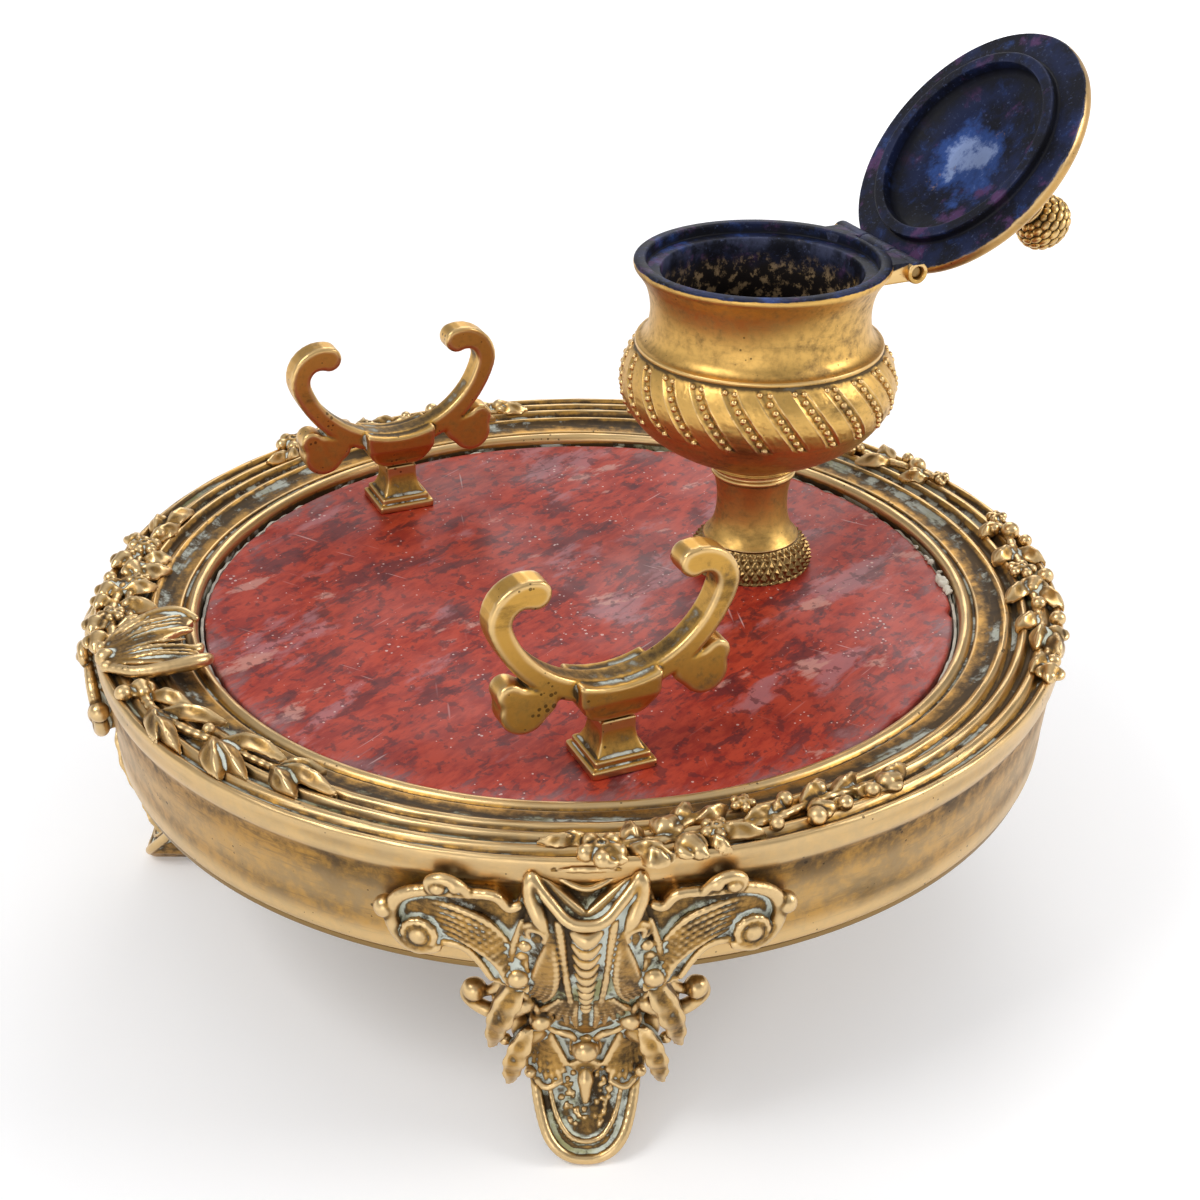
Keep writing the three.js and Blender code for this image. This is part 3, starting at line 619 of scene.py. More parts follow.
class Wiring:
    """Adds nodes to one tree and links them."""

    def __init__(self, tree: bpy.types.NodeTree) -> None:
        """Keep the tree that the nodes go into."""
        self.tree = tree

    def add(self, kind: str, inputs: dict[str | int, Value], **settings: object) -> bpy.types.Node:
        """Add a node.

        Args:
            kind: The node's type, without its usual first words.
            inputs: What goes into its sockets, by name or number.
            **settings: The node's own properties.

        Returns:
            The new node.
        """
        node = self.tree.nodes.new("ShaderNode" + kind)
        for name, value in settings.items():
            setattr(node, name, value)
        return self.fill(node, inputs)

    def fill(self, node: bpy.types.Node, inputs: dict[str | int, Value]) -> bpy.types.Node:
        """Link or set a node's inputs.

        Args:
            node: The node.
            inputs: What goes into its sockets, by name or number.

        Returns:
            The node itself.
        """
        for name, value in inputs.items():
            if isinstance(value, bpy.types.NodeSocket):
                self.tree.links.new(value, node.inputs[name])
            elif isinstance(value, tuple) and node.inputs[name].type == "RGBA":
                node.inputs[name].default_value = (*value, 1.0)
            else:
                node.inputs[name].default_value = value
        return node

    def sum(self, operation: str, first: Value, second: Value) -> Socket:
        """Work out a sum of two numbers."""
        return self.add("Math", {0: first, 1: second}, operation=operation).outputs[0]

    def plus(self, first: Value, second: Value) -> Socket:
        """Add two numbers."""
        return self.sum("ADD", first, second)

    def less(self, first: Value, second: Value) -> Socket:
        """Take the second number from the first."""
        return self.sum("SUBTRACT", first, second)

    def times(self, first: Value, second: Value) -> Socket:
        """Multiply two numbers."""
        return self.sum("MULTIPLY", first, second)

    def most(self, first: Value, second: Value) -> Socket:
        """Give the greater of two numbers."""
        return self.sum("MAXIMUM", first, second)

    def under(self, first: Value, second: Value) -> Socket:
        """Give 1 where the first number is under the second, and 0 elsewhere."""
        return self.sum("LESS_THAN", first, second)

    def mark(self, name: str) -> Socket:
        """Read a value that the mesh carries at each point."""
        return self.add("Attribute", {}, attribute_name=name).outputs["Fac"]

    def principled(self, color: Value, rough: Value, bump: bpy.types.Node, **others: Value) -> bpy.types.Node:
        """Give the usual shader.

        Args:
            color: Its base colour.
            rough: Its roughness.
            bump: The bump node that gives its normals.
            **others: Values for its other sockets, with _ for a space.

        Returns:
            The shader's node.
        """
        made = {"Base Color": color, "Roughness": rough, "Normal": bump.outputs[0]}
        made.update({name.replace("_", " "): value for name, value in others.items()})
        return self.add("BsdfPrincipled", made)

    def step(self, value: Value, low: Value, high: Value) -> Socket:
        """Run smoothly from 0 at low to 1 at high."""
        made = {0: value, 1: low, 2: high}
        return self.add("MapRange", made, interpolation_type="SMOOTHSTEP").outputs[0]

    def color(self, share: Value, first: Value, second: Value) -> Socket:
        """Blend two colours."""
        return self.add("Mix", {0: share, 6: first, 7: second}, data_type="RGBA").outputs[2]

    def number(self, share: Value, first: Value, second: Value) -> Socket:
        """Blend two numbers."""
        return self.add("Mix", {0: share, 2: first, 3: second}).outputs[0]

    def noise(self, where: Socket, scale: Value, detail: float = 3.0, rough: float = 0.55) -> Socket:
        """Give cloudy noise between 0 and 1."""
        made = {"Vector": where, "Scale": scale, "Detail": detail, "Roughness": rough}
        return self.add("TexNoise", made).outputs[0]

    def place(self) -> Socket:
        """Give the surface's own place in metres."""
        return self.add("TexCoord", {}).outputs["Object"]

    def stretched(self, where: Socket, scale: Color, turn: float = 0.0) -> Socket:
        """Stretch places.

        Args:
            where: The places.
            scale: How much along each axis.
            turn: How far the axes are turned about +Z, in radians.

        Returns:
            The stretched places.
        """
        inverse = tuple(1 / size for size in scale)
        made = {"Vector": where, "Scale": inverse, "Rotation": (0.0, 0.0, turn)}
        return self.add("Mapping", made, vector_type="TEXTURE").outputs[0]


@dataclass(frozen=True)
class GroupSpec:
    """The sockets of a shared effect.

    Args:
        name: The group's name.
        inputs: Names, kinds and first values of its inputs.
        outputs: Names and kinds of its outputs.
    """

    name: str
    inputs: tuple[tuple[str, str, Value], ...]
    outputs: tuple[tuple[str, str], ...]

    def start(self) -> tuple[bpy.types.NodeTree, Wiring, dict[str, Socket]]:
        """Make the empty group.

        Returns:
            The tree, its wiring, and its inputs by name.
        """
        tree = bpy.data.node_groups.new(self.name, "ShaderNodeTree")
        for name, kind, value in self.inputs:
            made = tree.interface.new_socket(name, in_out="INPUT", socket_type="NodeSocket" + kind)
            made.default_value = (*value, 1.0) if kind == "Color" else value
        for name, kind in self.outputs:
            tree.interface.new_socket(name, in_out="OUTPUT", socket_type="NodeSocket" + kind)
        entry = tree.nodes.new("NodeGroupInput")
        return tree, Wiring(tree), {name: entry.outputs[name] for name, _, _ in self.inputs}

    @staticmethod
    def close(tree: bpy.types.NodeTree, results: dict[str, Socket]) -> None:
        """Link the results to the group's outputs.

        Args:
            tree: The group.
            results: What each output gives, by name.
        """
        last = tree.nodes.new("NodeGroupOutput")
        for name, socket in results.items():
            tree.links.new(socket, last.inputs[name])


PATINA = GroupSpec(
    "patina",
    (
        ("Bright", "Color", (0.44, 0.25, 0.07)),
        ("Brown", "Color", (0.14, 0.084, 0.036)),
        ("Dark", "Color", (0.035, 0.024, 0.014)),
        ("Deposit", "Color", (0.66, 0.70, 0.62)),
        ("Worn", "Color", (0.76, 0.54, 0.27)),
        ("Cloud Scale", "Float", 55.0),
        ("Browned", "Float", 0.5),
        ("Deposits", "Float", 0.5),
        ("Spots", "Float", 0.5),
        ("Hollow", "Float", 0.0),
        ("Wear", "Float", 0.6),
    ),
    (("Color", "Color"), ("Roughness", "Float"), ("Height", "Float"), ("Metal", "Float")),
)


def patina_group() -> bpy.types.NodeTree:
    """Make the group of aged gilding.

    Clouds of brown lie over the gold, edges are worn bright, hollows hold pale crust and are darkened
    as dirt and painted shade, and small dark spots are strewn over it.

    Returns:
        The group.
    """
    tree, wire, given = PATINA.start()
    where = wire.place()
    clouds = wire.noise(where, given["Cloud Scale"], 6.0, 0.65)
    fine = wire.noise(where, wire.times(given["Cloud Scale"], 11.0), 4.0, 0.65)
    browned = wire.plus(wire.times(clouds, 0.65), wire.times(fine, 0.35))
    low = wire.less(0.74, wire.times(given["Browned"], 0.44))
    share = wire.step(browned, low, wire.plus(low, 0.18))
    metal = wire.color(share, given["Bright"], given["Brown"])
    smudge = wire.noise(wire.stretched(where, (1.0, 1.0, 2.6)), 34.0, 7.0, 0.7)
    smudged = wire.times(wire.step(smudge, 0.54, 0.72), 0.7)
    metal = wire.color(smudged, metal, given["Dark"])
    lines = wire.noise(wire.stretched(where, (1.0, 1.0, 13.0)), 110.0, 4.0, 0.7)
    lined = wire.times(wire.less(given["Browned"], 0.4), 2.0)
    metal = wire.color(wire.times(wire.step(lines, 0.53, 0.68), lined), metal, given["Brown"])
    edge = wire.plus(wire.times(given["Hollow"], -1.0), wire.times(fine, 0.05))
    worn = wire.times(wire.step(edge, 0.06, 0.2), given["Wear"])
    metal = wire.color(worn, metal, given["Worn"])
    ragged = wire.times(wire.less(fine, 0.5), 0.16)
    sunk = wire.plus(given["Hollow"], ragged)
    # Hollows are darkened towards the dark colour: partly dirt, partly painted shade that stands in for
    # occlusion.
    grime_and_shade = wire.step(sunk, -0.03, 0.11)
    metal = wire.color(wire.times(grime_and_shade, 0.9), metal, given["Dark"])
    dots = wire.add("TexVoronoi", {"Vector": where, "Scale": 760.0}, feature="F1").outputs[0]
    pits = wire.noise(where, 170.0, 2.0, 0.5)
    spot_size = wire.times(wire.step(pits, 0.46, 0.85), given["Spots"])
    spotted = wire.under(dots, wire.times(spot_size, 0.48))
    metal = wire.color(wire.times(spotted, 0.7), metal, given["Dark"])
    patches = wire.noise(where, 75.0, 7.0, 0.68)
    crust = wire.step(sunk, 0.05, 0.14)
    bare = wire.less(0.60, wire.times(given["Deposits"], 0.16))
    crust = wire.times(crust, wire.step(patches, bare, wire.plus(bare, 0.08)))
    crust = wire.times(crust, given["Deposits"])
    tint = wire.color(wire.step(clouds, 0.5, 0.66), given["Deposit"], (0.36, 0.35, 0.17))
    surface = wire.color(crust, metal, tint)
    dull = wire.plus(wire.times(share, 0.6), wire.times(fine, 0.4))
    rough = wire.number(worn, wire.number(dull, 0.36, 0.56), 0.28)
    rough = wire.number(wire.most(grime_and_shade, smudged), rough, 0.58)
    rough = wire.number(crust, rough, 0.88)
    height = wire.plus(wire.times(fine, 0.7), wire.times(clouds, 0.4))
    height = wire.less(height, wire.times(spotted, 0.8))
    height = wire.plus(height, wire.times(crust, 0.7))
    metallic = wire.less(1.0, wire.most(crust, wire.times(grime_and_shade, 0.4)))
    PATINA.close(tree, {"Color": surface, "Roughness": rough, "Height": height, "Metal": metallic})
    return tree


INK = GroupSpec(
    "ink_stain",
    (
        ("Color", "Color", (0.5, 0.4, 0.2)),
        ("Roughness", "Float", 0.4),
        ("Metal", "Float", 1.0),
        ("Reach", "Float", 0.0),
        ("Raggedness", "Float", 0.35),
        ("Pale", "Float", 0.0),
        ("Hollow", "Float", 0.0),
    ),
    (("Color", "Color"), ("Roughness", "Float"), ("Metal", "Float"), ("Height", "Float")),
)


def ink_group() -> bpy.types.NodeTree:
    """Make the group of dried ink: a ragged film from blue to violet, with pale dried patches.

    Returns:
        The group.
    """
    tree, wire, given = INK.start()
    where = wire.place()
    ragged = wire.noise(where, 260.0, 5.0, 0.65)
    ragged = wire.times(wire.less(ragged, 0.5), given["Raggedness"])
    film = wire.step(wire.plus(given["Reach"], ragged), 0.44, 0.54)
    tone = wire.noise(where, 95.0, 6.0, 0.68)
    blue = wire.color(wire.step(tone, 0.42, 0.62), (0.003, 0.0035, 0.009), (0.008, 0.014, 0.050))
    other = wire.noise(wire.stretched(where, (1.0, 1.0, 1.0), 0.8), 120.0, 5.0, 0.65)
    blue = wire.color(wire.step(other, 0.53, 0.66), blue, (0.075, 0.030, 0.095))
    dried = wire.noise(where, 150.0, 8.0, 0.7)
    spread = wire.plus(given["Pale"], wire.times(wire.less(dried, 0.5), 2.2))
    blue = wire.color(wire.step(spread, 0.12, 0.60), blue, (0.026, 0.066, 0.24))
    pale = wire.step(spread, 0.56, 0.92)
    blue = wire.color(pale, blue, (0.26, 0.34, 0.58))
    grain = wire.noise(where, 1300.0, 4.0, 0.7)
    faint = wire.times(wire.step(grain, 0.58, 0.70), wire.number(pale, 0.3, 0.7))
    blue = wire.color(faint, blue, (0.15, 0.19, 0.36))
    # Raised edges of the ink are lightened: partly worn ink, partly a painted highlight.
    edge = wire.step(wire.times(given["Hollow"], -1.0), 0.03, 0.2)
    rubbed_and_highlight = wire.times(wire.times(edge, wire.step(tone, 0.4, 0.62)), 0.4)
    blue = wire.color(rubbed_and_highlight, blue, (0.13, 0.14, 0.22))
    # Painted shade: the ink in hollows is darkened almost to black.
    sunk = wire.times(wire.step(given["Hollow"], 0.01, 0.12), 0.85)
    blue = wire.color(sunk, blue, (0.001, 0.001, 0.003))
    deep = wire.plus(wire.times(given["Pale"], -1.0), wire.times(ragged, 1.2))
    crust = wire.step(wire.noise(where, 420.0, 5.0, 0.7), 0.50, 0.62)
    crusty = wire.color(crust, (0.014, 0.010, 0.009), (0.34, 0.23, 0.12))
    blue = wire.color(wire.step(deep, 0.2, 0.6), blue, crusty)
    bare = wire.times(wire.step(other, 0.34, 0.28), wire.step(grain, 0.45, 0.6))
    inked = wire.color(film, given["Color"], blue)
    INK.close(
        tree,
        {
            "Color": wire.color(wire.times(bare, 0.6), inked, given["Color"]),
            "Roughness": wire.number(film, given["Roughness"], wire.number(tone, 0.35, 0.8)),
            "Metal": wire.times(given["Metal"], wire.less(1.0, film)),
            "Height": wire.times(film, wire.plus(dried, 0.6)),
        },
    )
    return tree


class Effects:
    """The shared groups, each built once and then kept in `made` by its name."""

    made: dict[str, bpy.types.NodeTree] = {}

    @classmethod
    def place(
        cls, wire: Wiring, spec: GroupSpec, build: Callable[[], bpy.types.NodeTree],
        inputs: dict[str, Value],
    ) -> bpy.types.Node:
        """Place a shared group in a material, and build it if it is the first time.

        Args:
            wire: The material's wiring.
            spec: The group's sockets.
            build: What makes the group.
            inputs: The group's own values here.

        Returns:
            The group's node.
        """
        if spec.name not in cls.made:
            cls.made[spec.name] = build()
        node = wire.tree.nodes.new("ShaderNodeGroup")
        node.node_tree = cls.made[spec.name]
        return wire.fill(node, inputs)


class Finish:
    """A finish makes its Blender material once and hands it out.

    Args:
        name: The material's name.
        slot: The record's material slot; not used.
    """

    name: str
    slot: str

    def surface(self, wire: Wiring) -> bpy.types.Node:
        """Wire the shader and give its node."""
        raise NotImplementedError

    def material(self) -> bpy.types.Material:
        """Give the finish's material, and make it if it is the first time.

        Returns:
            The material.
        """
        found = bpy.data.materials.get(self.name)
        if found:
            return found
        made = bpy.data.materials.new(self.name)
        made.use_nodes = True
        made.node_tree.nodes.clear()
        wire = Wiring(made.node_tree)
        shader = self.surface(wire)
        last = made.node_tree.nodes.new("ShaderNodeOutputMaterial")
        made.node_tree.links.new(shader.outputs[0], last.inputs["Surface"])
        return made


@dataclass(frozen=True)
class AgedGilding(Finish):
    """Gilt bronze as it has aged, with ink where the mesh says so.

    Args:
        name: The material's name.
        slot: The record's material slot; not used.
        bright: The clean gilding.
        brown: Where it has browned.
        browned: How much of it has, from 0 to 1.
        deposits: How much pale crust lies in hollows.
        spots: How many dark spots it has.
        wear: How bright its edges are rubbed.
        deposit: The crust's colour.
        grain: How rough the casting's skin is, in millimetres.
        clouds: Scale of the browned clouds.
        inked: Whether the mesh carries ink.
    """

    name: str
    slot: str = "gilt_bronze"
    bright: Color = (0.44, 0.25, 0.07)
    brown: Color = (0.14, 0.084, 0.036)
    browned: float = 0.5
    deposits: float = 0.4
    spots: float = 0.5
    wear: float = 0.6
    deposit: Color = (0.66, 0.70, 0.62)
    grain: float = 0.05
    clouds: float = 55.0
    inked: bool = False

    def surface(self, wire: Wiring) -> bpy.types.Node:
        """Wire patina and, where there is some, ink into one shader.

        Args:
            wire: The material's wiring.

        Returns:
            The shader's node.
        """
        hollow = wire.mark("hollow")
        patina = Effects.place(
            wire, PATINA, patina_group,
            {
                "Bright": self.bright, "Brown": self.brown, "Deposit": self.deposit,
                "Browned": self.browned, "Deposits": self.deposits, "Spots": self.spots,
                "Cloud Scale": self.clouds, "Hollow": hollow, "Wear": self.wear,
            },
        )
        color, rough = patina.outputs["Color"], patina.outputs["Roughness"]
        metal, height = patina.outputs["Metal"], patina.outputs["Height"]
        if self.inked:
            film = {"Reach": wire.mark("ink"), "Pale": wire.mark("pale"), "Hollow": hollow}
            gilding = {"Color": color, "Roughness": rough, "Metal": metal}
            ink = Effects.place(wire, INK, ink_group, gilding | film)
            color, rough, metal = (ink.outputs[k] for k in ("Color", "Roughness", "Metal"))
            height = wire.plus(height, ink.outputs["Height"])
        bump = wire.add("Bump", {"Height": height, "Distance": self.grain * MM, "Strength": 0.6})
        return wire.principled(color, rough, bump, Metallic=metal, Specular_IOR_Level=0.2)


@dataclass(frozen=True)
class RedMarble(Finish):
    """Polished red marble with violet-grey clouds, dark veins, pale flecks and scratches.

    Args:
        name: The material's name.
        slot: The record's material slot; not used.
        red: Its main colour.
        scarlet: The brighter red that is mixed in.
        liver: The dark red of its streaks.
        cloud: The colour of the pale clouds.
        buff: The colour of the buff patches.
        vein: The colour of the dark veins.
        fleck: The colour of the pale flecks.
        scratch: The colour of the scratches.
        dust: The colour of the dust near its edge.
        drift: Which way the clouds run, in degrees about +Z.
    """

    name: str = "red_marble"
    slot: str = "marble"
    red: Color = (0.27, 0.021, 0.012)
    scarlet: Color = (0.42, 0.045, 0.020)
    liver: Color = (0.100, 0.014, 0.017)
    cloud: Color = (0.38, 0.155, 0.165)
    buff: Color = (0.52, 0.25, 0.20)
    vein: Color = (0.075, 0.012, 0.016)
    fleck: Color = (0.66, 0.50, 0.46)
    scratch: Color = (0.62, 0.42, 0.40)
    dust: Color = (0.60, 0.36, 0.36)
    drift: float = 118.0

    def surface(self, wire: Wiring) -> bpy.types.Node:
        """Wire the stone.

        Args:
            wire: The material's wiring.

        Returns:
            The shader's node.
        """
        where = wire.place()
        flow = wire.stretched(where, (1.0, 2.6, 1.0), math.radians(self.drift))
        warp = wire.add("TexNoise", {"Vector": flow, "Scale": 30.0, "Detail": 3.0}).outputs["Color"]
        shift = {0: warp, 1: (0.012, 0.012, 0.012), 2: flow}
        bent = wire.add("VectorMath", shift, operation="MULTIPLY_ADD").outputs[0]
        broad = wire.noise(bent, 27.0, 9.0, 0.62)
        streak = wire.noise(bent, 62.0, 9.0, 0.72)
        tone = wire.noise(bent, 150.0, 7.0, 0.7)
        color = wire.color(wire.step(tone, 0.38, 0.60), self.red, self.scarlet)
        dull = wire.times(wire.step(streak, 0.52, 0.585), 0.78)
        color = wire.color(dull, color, self.liver)
        color = wire.color(wire.times(wire.step(broad, 0.555, 0.63), 0.68), color, self.cloud)
        buff = wire.noise(wire.stretched(where, (1.0, 2.2, 1.0), 1.9), 34.0, 9.0, 0.62)
        color = wire.color(wire.times(wire.step(buff, 0.595, 0.64), 0.72), color, self.buff)
        cells = {"Vector": bent, "Scale": 60.0, "Randomness": 1.0}
        crack = wire.add("TexVoronoi", cells, feature="DISTANCE_TO_EDGE").outputs[0]
        veins = wire.less(1.0, wire.step(crack, 0.0, 0.045))
        veins = wire.times(veins, wire.step(streak, 0.47, 0.6))
        color = wire.color(wire.times(veins, 0.45), color, self.vein)
        mottle = wire.noise(where, 330.0, 3.0, 0.6)
        color = wire.color(wire.times(wire.step(mottle, 0.55, 0.62), 0.6), color, self.vein)
        flecks = wire.add("TexVoronoi", {"Vector": where, "Scale": 640.0}).outputs[0]
        few = wire.step(wire.noise(where, 90.0, 4.0), 0.36, 0.8)
        flecked = wire.under(flecks, wire.times(few, 0.26))
        color = wire.color(wire.times(flecked, 0.75), color, self.fleck)
        scratches = []
        for turn, scale in ((0.5, 150.0), (2.2, 190.0), (1.3, 120.0)):
            line = wire.stretched(where, (1.0, 0.06, 1.0), turn)
            thread = wire.noise(line, scale * 6, 1.0, 0.5)
            gap = wire.noise(line, scale, 2.0, 0.5)
            scratches.append(wire.times(wire.step(thread, 0.72, 0.78), wire.step(gap, 0.5, 0.62)))
        scratched = wire.most(wire.most(scratches[0], scratches[1]), scratches[2])
        color = wire.color(wire.times(scratched, 0.6), color, self.scratch)
        dusty = wire.noise(where, 25.0, 5.0, 0.6)
        away = wire.add("VectorMath", {0: where}, operation="LENGTH").outputs["Value"]
        powder = wire.plus(wire.times(away, 1 / MM), wire.times(streak, 34.0))
        powder = wire.times(wire.step(powder, 87.0, 99.0), 0.38)
        color = wire.color(powder, color, self.dust)
        rough = wire.number(wire.step(dusty, 0.35, 0.65), 0.30, 0.58)
        height = wire.less(wire.noise(where, 500.0, 2.0), scratched)
        bump = wire.add("Bump", {"Height": height, "Distance": 0.02 * MM, "Strength": 0.4})
        return wire.principled(color, rough, bump, Specular_IOR_Level=0.22)


@dataclass(frozen=True)
class Powdery(Finish):
    """A dull mineral or painted surface of two tones, such as plaster or oiled iron.

    Args:
        name: The material's name.
        slot: The record's material slot; not used.
        first: One tone.
        second: The other tone.
        scale: Scale of the mottling.
        rough: Mean roughness.
        metal: How metallic it is.
        grain: How rough its skin is, in millimetres.
    """

    name: str
    slot: str
    first: Color
    second: Color
    scale: float = 300.0
    rough: float = 0.85
    metal: float = 0.0
    grain: float = 0.15

    def surface(self, wire: Wiring) -> bpy.types.Node:
        """Wire the mottled surface.

        Args:
            wire: The material's wiring.

        Returns:
            The shader's node.
        """
        where = wire.place()
        tone = wire.noise(where, self.scale, 5.0, 0.65)
        grit = wire.noise(where, self.scale * 4, 3.0, 0.6)
        color = wire.color(wire.step(tone, 0.35, 0.65), self.first, self.second)
        rough = wire.number(grit, self.rough - 0.12, self.rough + 0.1)
        height = wire.plus(tone, wire.times(grit, 0.5))
        bump = wire.add("Bump", {"Height": height, "Distance": self.grain * MM, "Strength": 0.7})
        return wire.principled(color, rough, bump, Metallic=self.metal)


class Finishes(Enum):
    """The finishes of this inkstand."""

    SMOOTH_GILT = AgedGilding(
        "smooth_gilt", bright=(0.66, 0.40, 0.115), brown=(0.33, 0.20, 0.075), browned=0.5, deposits=0.1,
        spots=0.6, inked=True,
    )
    RIM_GILT = AgedGilding(
        "rim_gilt", bright=(0.45, 0.24, 0.052), browned=0.70, deposits=0.68, spots=0.7, wear=0.7,
        clouds=38.0,
    )
    CAST_GILT = AgedGilding("cast_gilt", browned=0.70, deposits=1.0, spots=0.4, grain=0.12, wear=0.85)
    REST_GILT = AgedGilding(
        "rest_gilt", bright=(0.60, 0.34, 0.075), brown=(0.24, 0.15, 0.065), browned=0.46, deposits=0.8,
        spots=1.0,
    )
    LID_METAL = AgedGilding(
        "lid_metal", slot="ink_stained_bronze", browned=0.4, deposits=0.1, spots=0.6, inked=True
    )
    DARK_BRONZE = AgedGilding(
        "dark_bronze", slot="dark_bronze", bright=(0.24, 0.145, 0.05), brown=(0.045, 0.030, 0.018),
        browned=0.82, deposits=0.1, clouds=160.0, wear=0.8,
    )
    MARBLE = RedMarble()
    PLASTER = Powdery("plaster", "plaster", (0.62, 0.58, 0.47), (0.30, 0.25, 0.18), 420.0)
    IRON = Powdery(
        "oiled_iron", "iron", (0.09, 0.075, 0.06), (0.16, 0.10, 0.06), 500.0, 0.5, 0.85, 0.05
    )


def make_piece(
    name: str, skin: Skin, finish: Finishes, body: str, stands_for: Sequence[str] = (),
    sharp: float = 38.0, marks: dict[str, Array] | None = None,
) -> bpy.types.Object:
    """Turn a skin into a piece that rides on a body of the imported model.

    Args:
        name: The piece's name.
        skin: Its skin, in millimetres.
        finish: What it is finished with.
        body: The body that it moves with.
        stands_for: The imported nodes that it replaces.
        sharp: Edges that bend more than this many degrees stay crisp.
        marks: Values at each point, by name, which its finish reads.

    Returns:
        The piece.
    """
    corners = np.concatenate([block.ravel() for block in skin.faces])
    sizes = np.concatenate([np.full(len(block), block.shape[1]) for block in skin.faces])
    mesh = bpy.data.meshes.new(name)
    mesh.vertices.add(len(skin.points))
    mesh.vertices.foreach_set("co", (skin.points * MM).astype(np.float32).ravel())
    mesh.loops.add(len(corners))
    mesh.loops.foreach_set("vertex_index", corners.astype(np.int32))
    mesh.polygons.add(len(sizes))
    starts = np.concatenate([[0], np.cumsum(sizes)[:-1]])
    mesh.polygons.foreach_set("loop_start", starts.astype(np.int32))
    mesh.update(calc_edges=True)
    mesh.validate()
    mesh.shade_smooth()
    mesh.set_sharp_from_angle(angle=math.radians(sharp))
    marks = dict(marks or {})
    if isinstance(finish.value, AgedGilding):
        # The hollow mark drives worn edges, pale crust, and darkening that is partly dirt and partly painted
        # shade.
        marks["hollow"] = hollows(skin) * marks.pop("carved", 1.0) + marks.pop("saddle_sink", 0.0)
    for mark, values in marks.items():
        layer = mesh.attributes.new(mark, "FLOAT", "POINT")
        layer.data.foreach_set("value", values.astype(np.float32))
    mesh.materials.append(finish.value.material())
    made = bpy.data.objects.new(name, mesh)
    bpy.context.scene.collection.objects.link(made)
    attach(made, body)
    if stands_for:
        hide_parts(*stands_for)
    log.info("%s: %d points, on %s", name, len(skin.points), body)
    return made


def dress_node(name: str, finish: Finishes) -> None:
    """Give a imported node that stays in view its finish.

    Args:
        name: The node.
        finish: What it is finished with.
    """
    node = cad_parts[name]
    node.data.materials.clear()
    node.data.materials.append(finish.value.material())
    log.info("%s: kept, in %s", name, finish.value.name)


# The tray


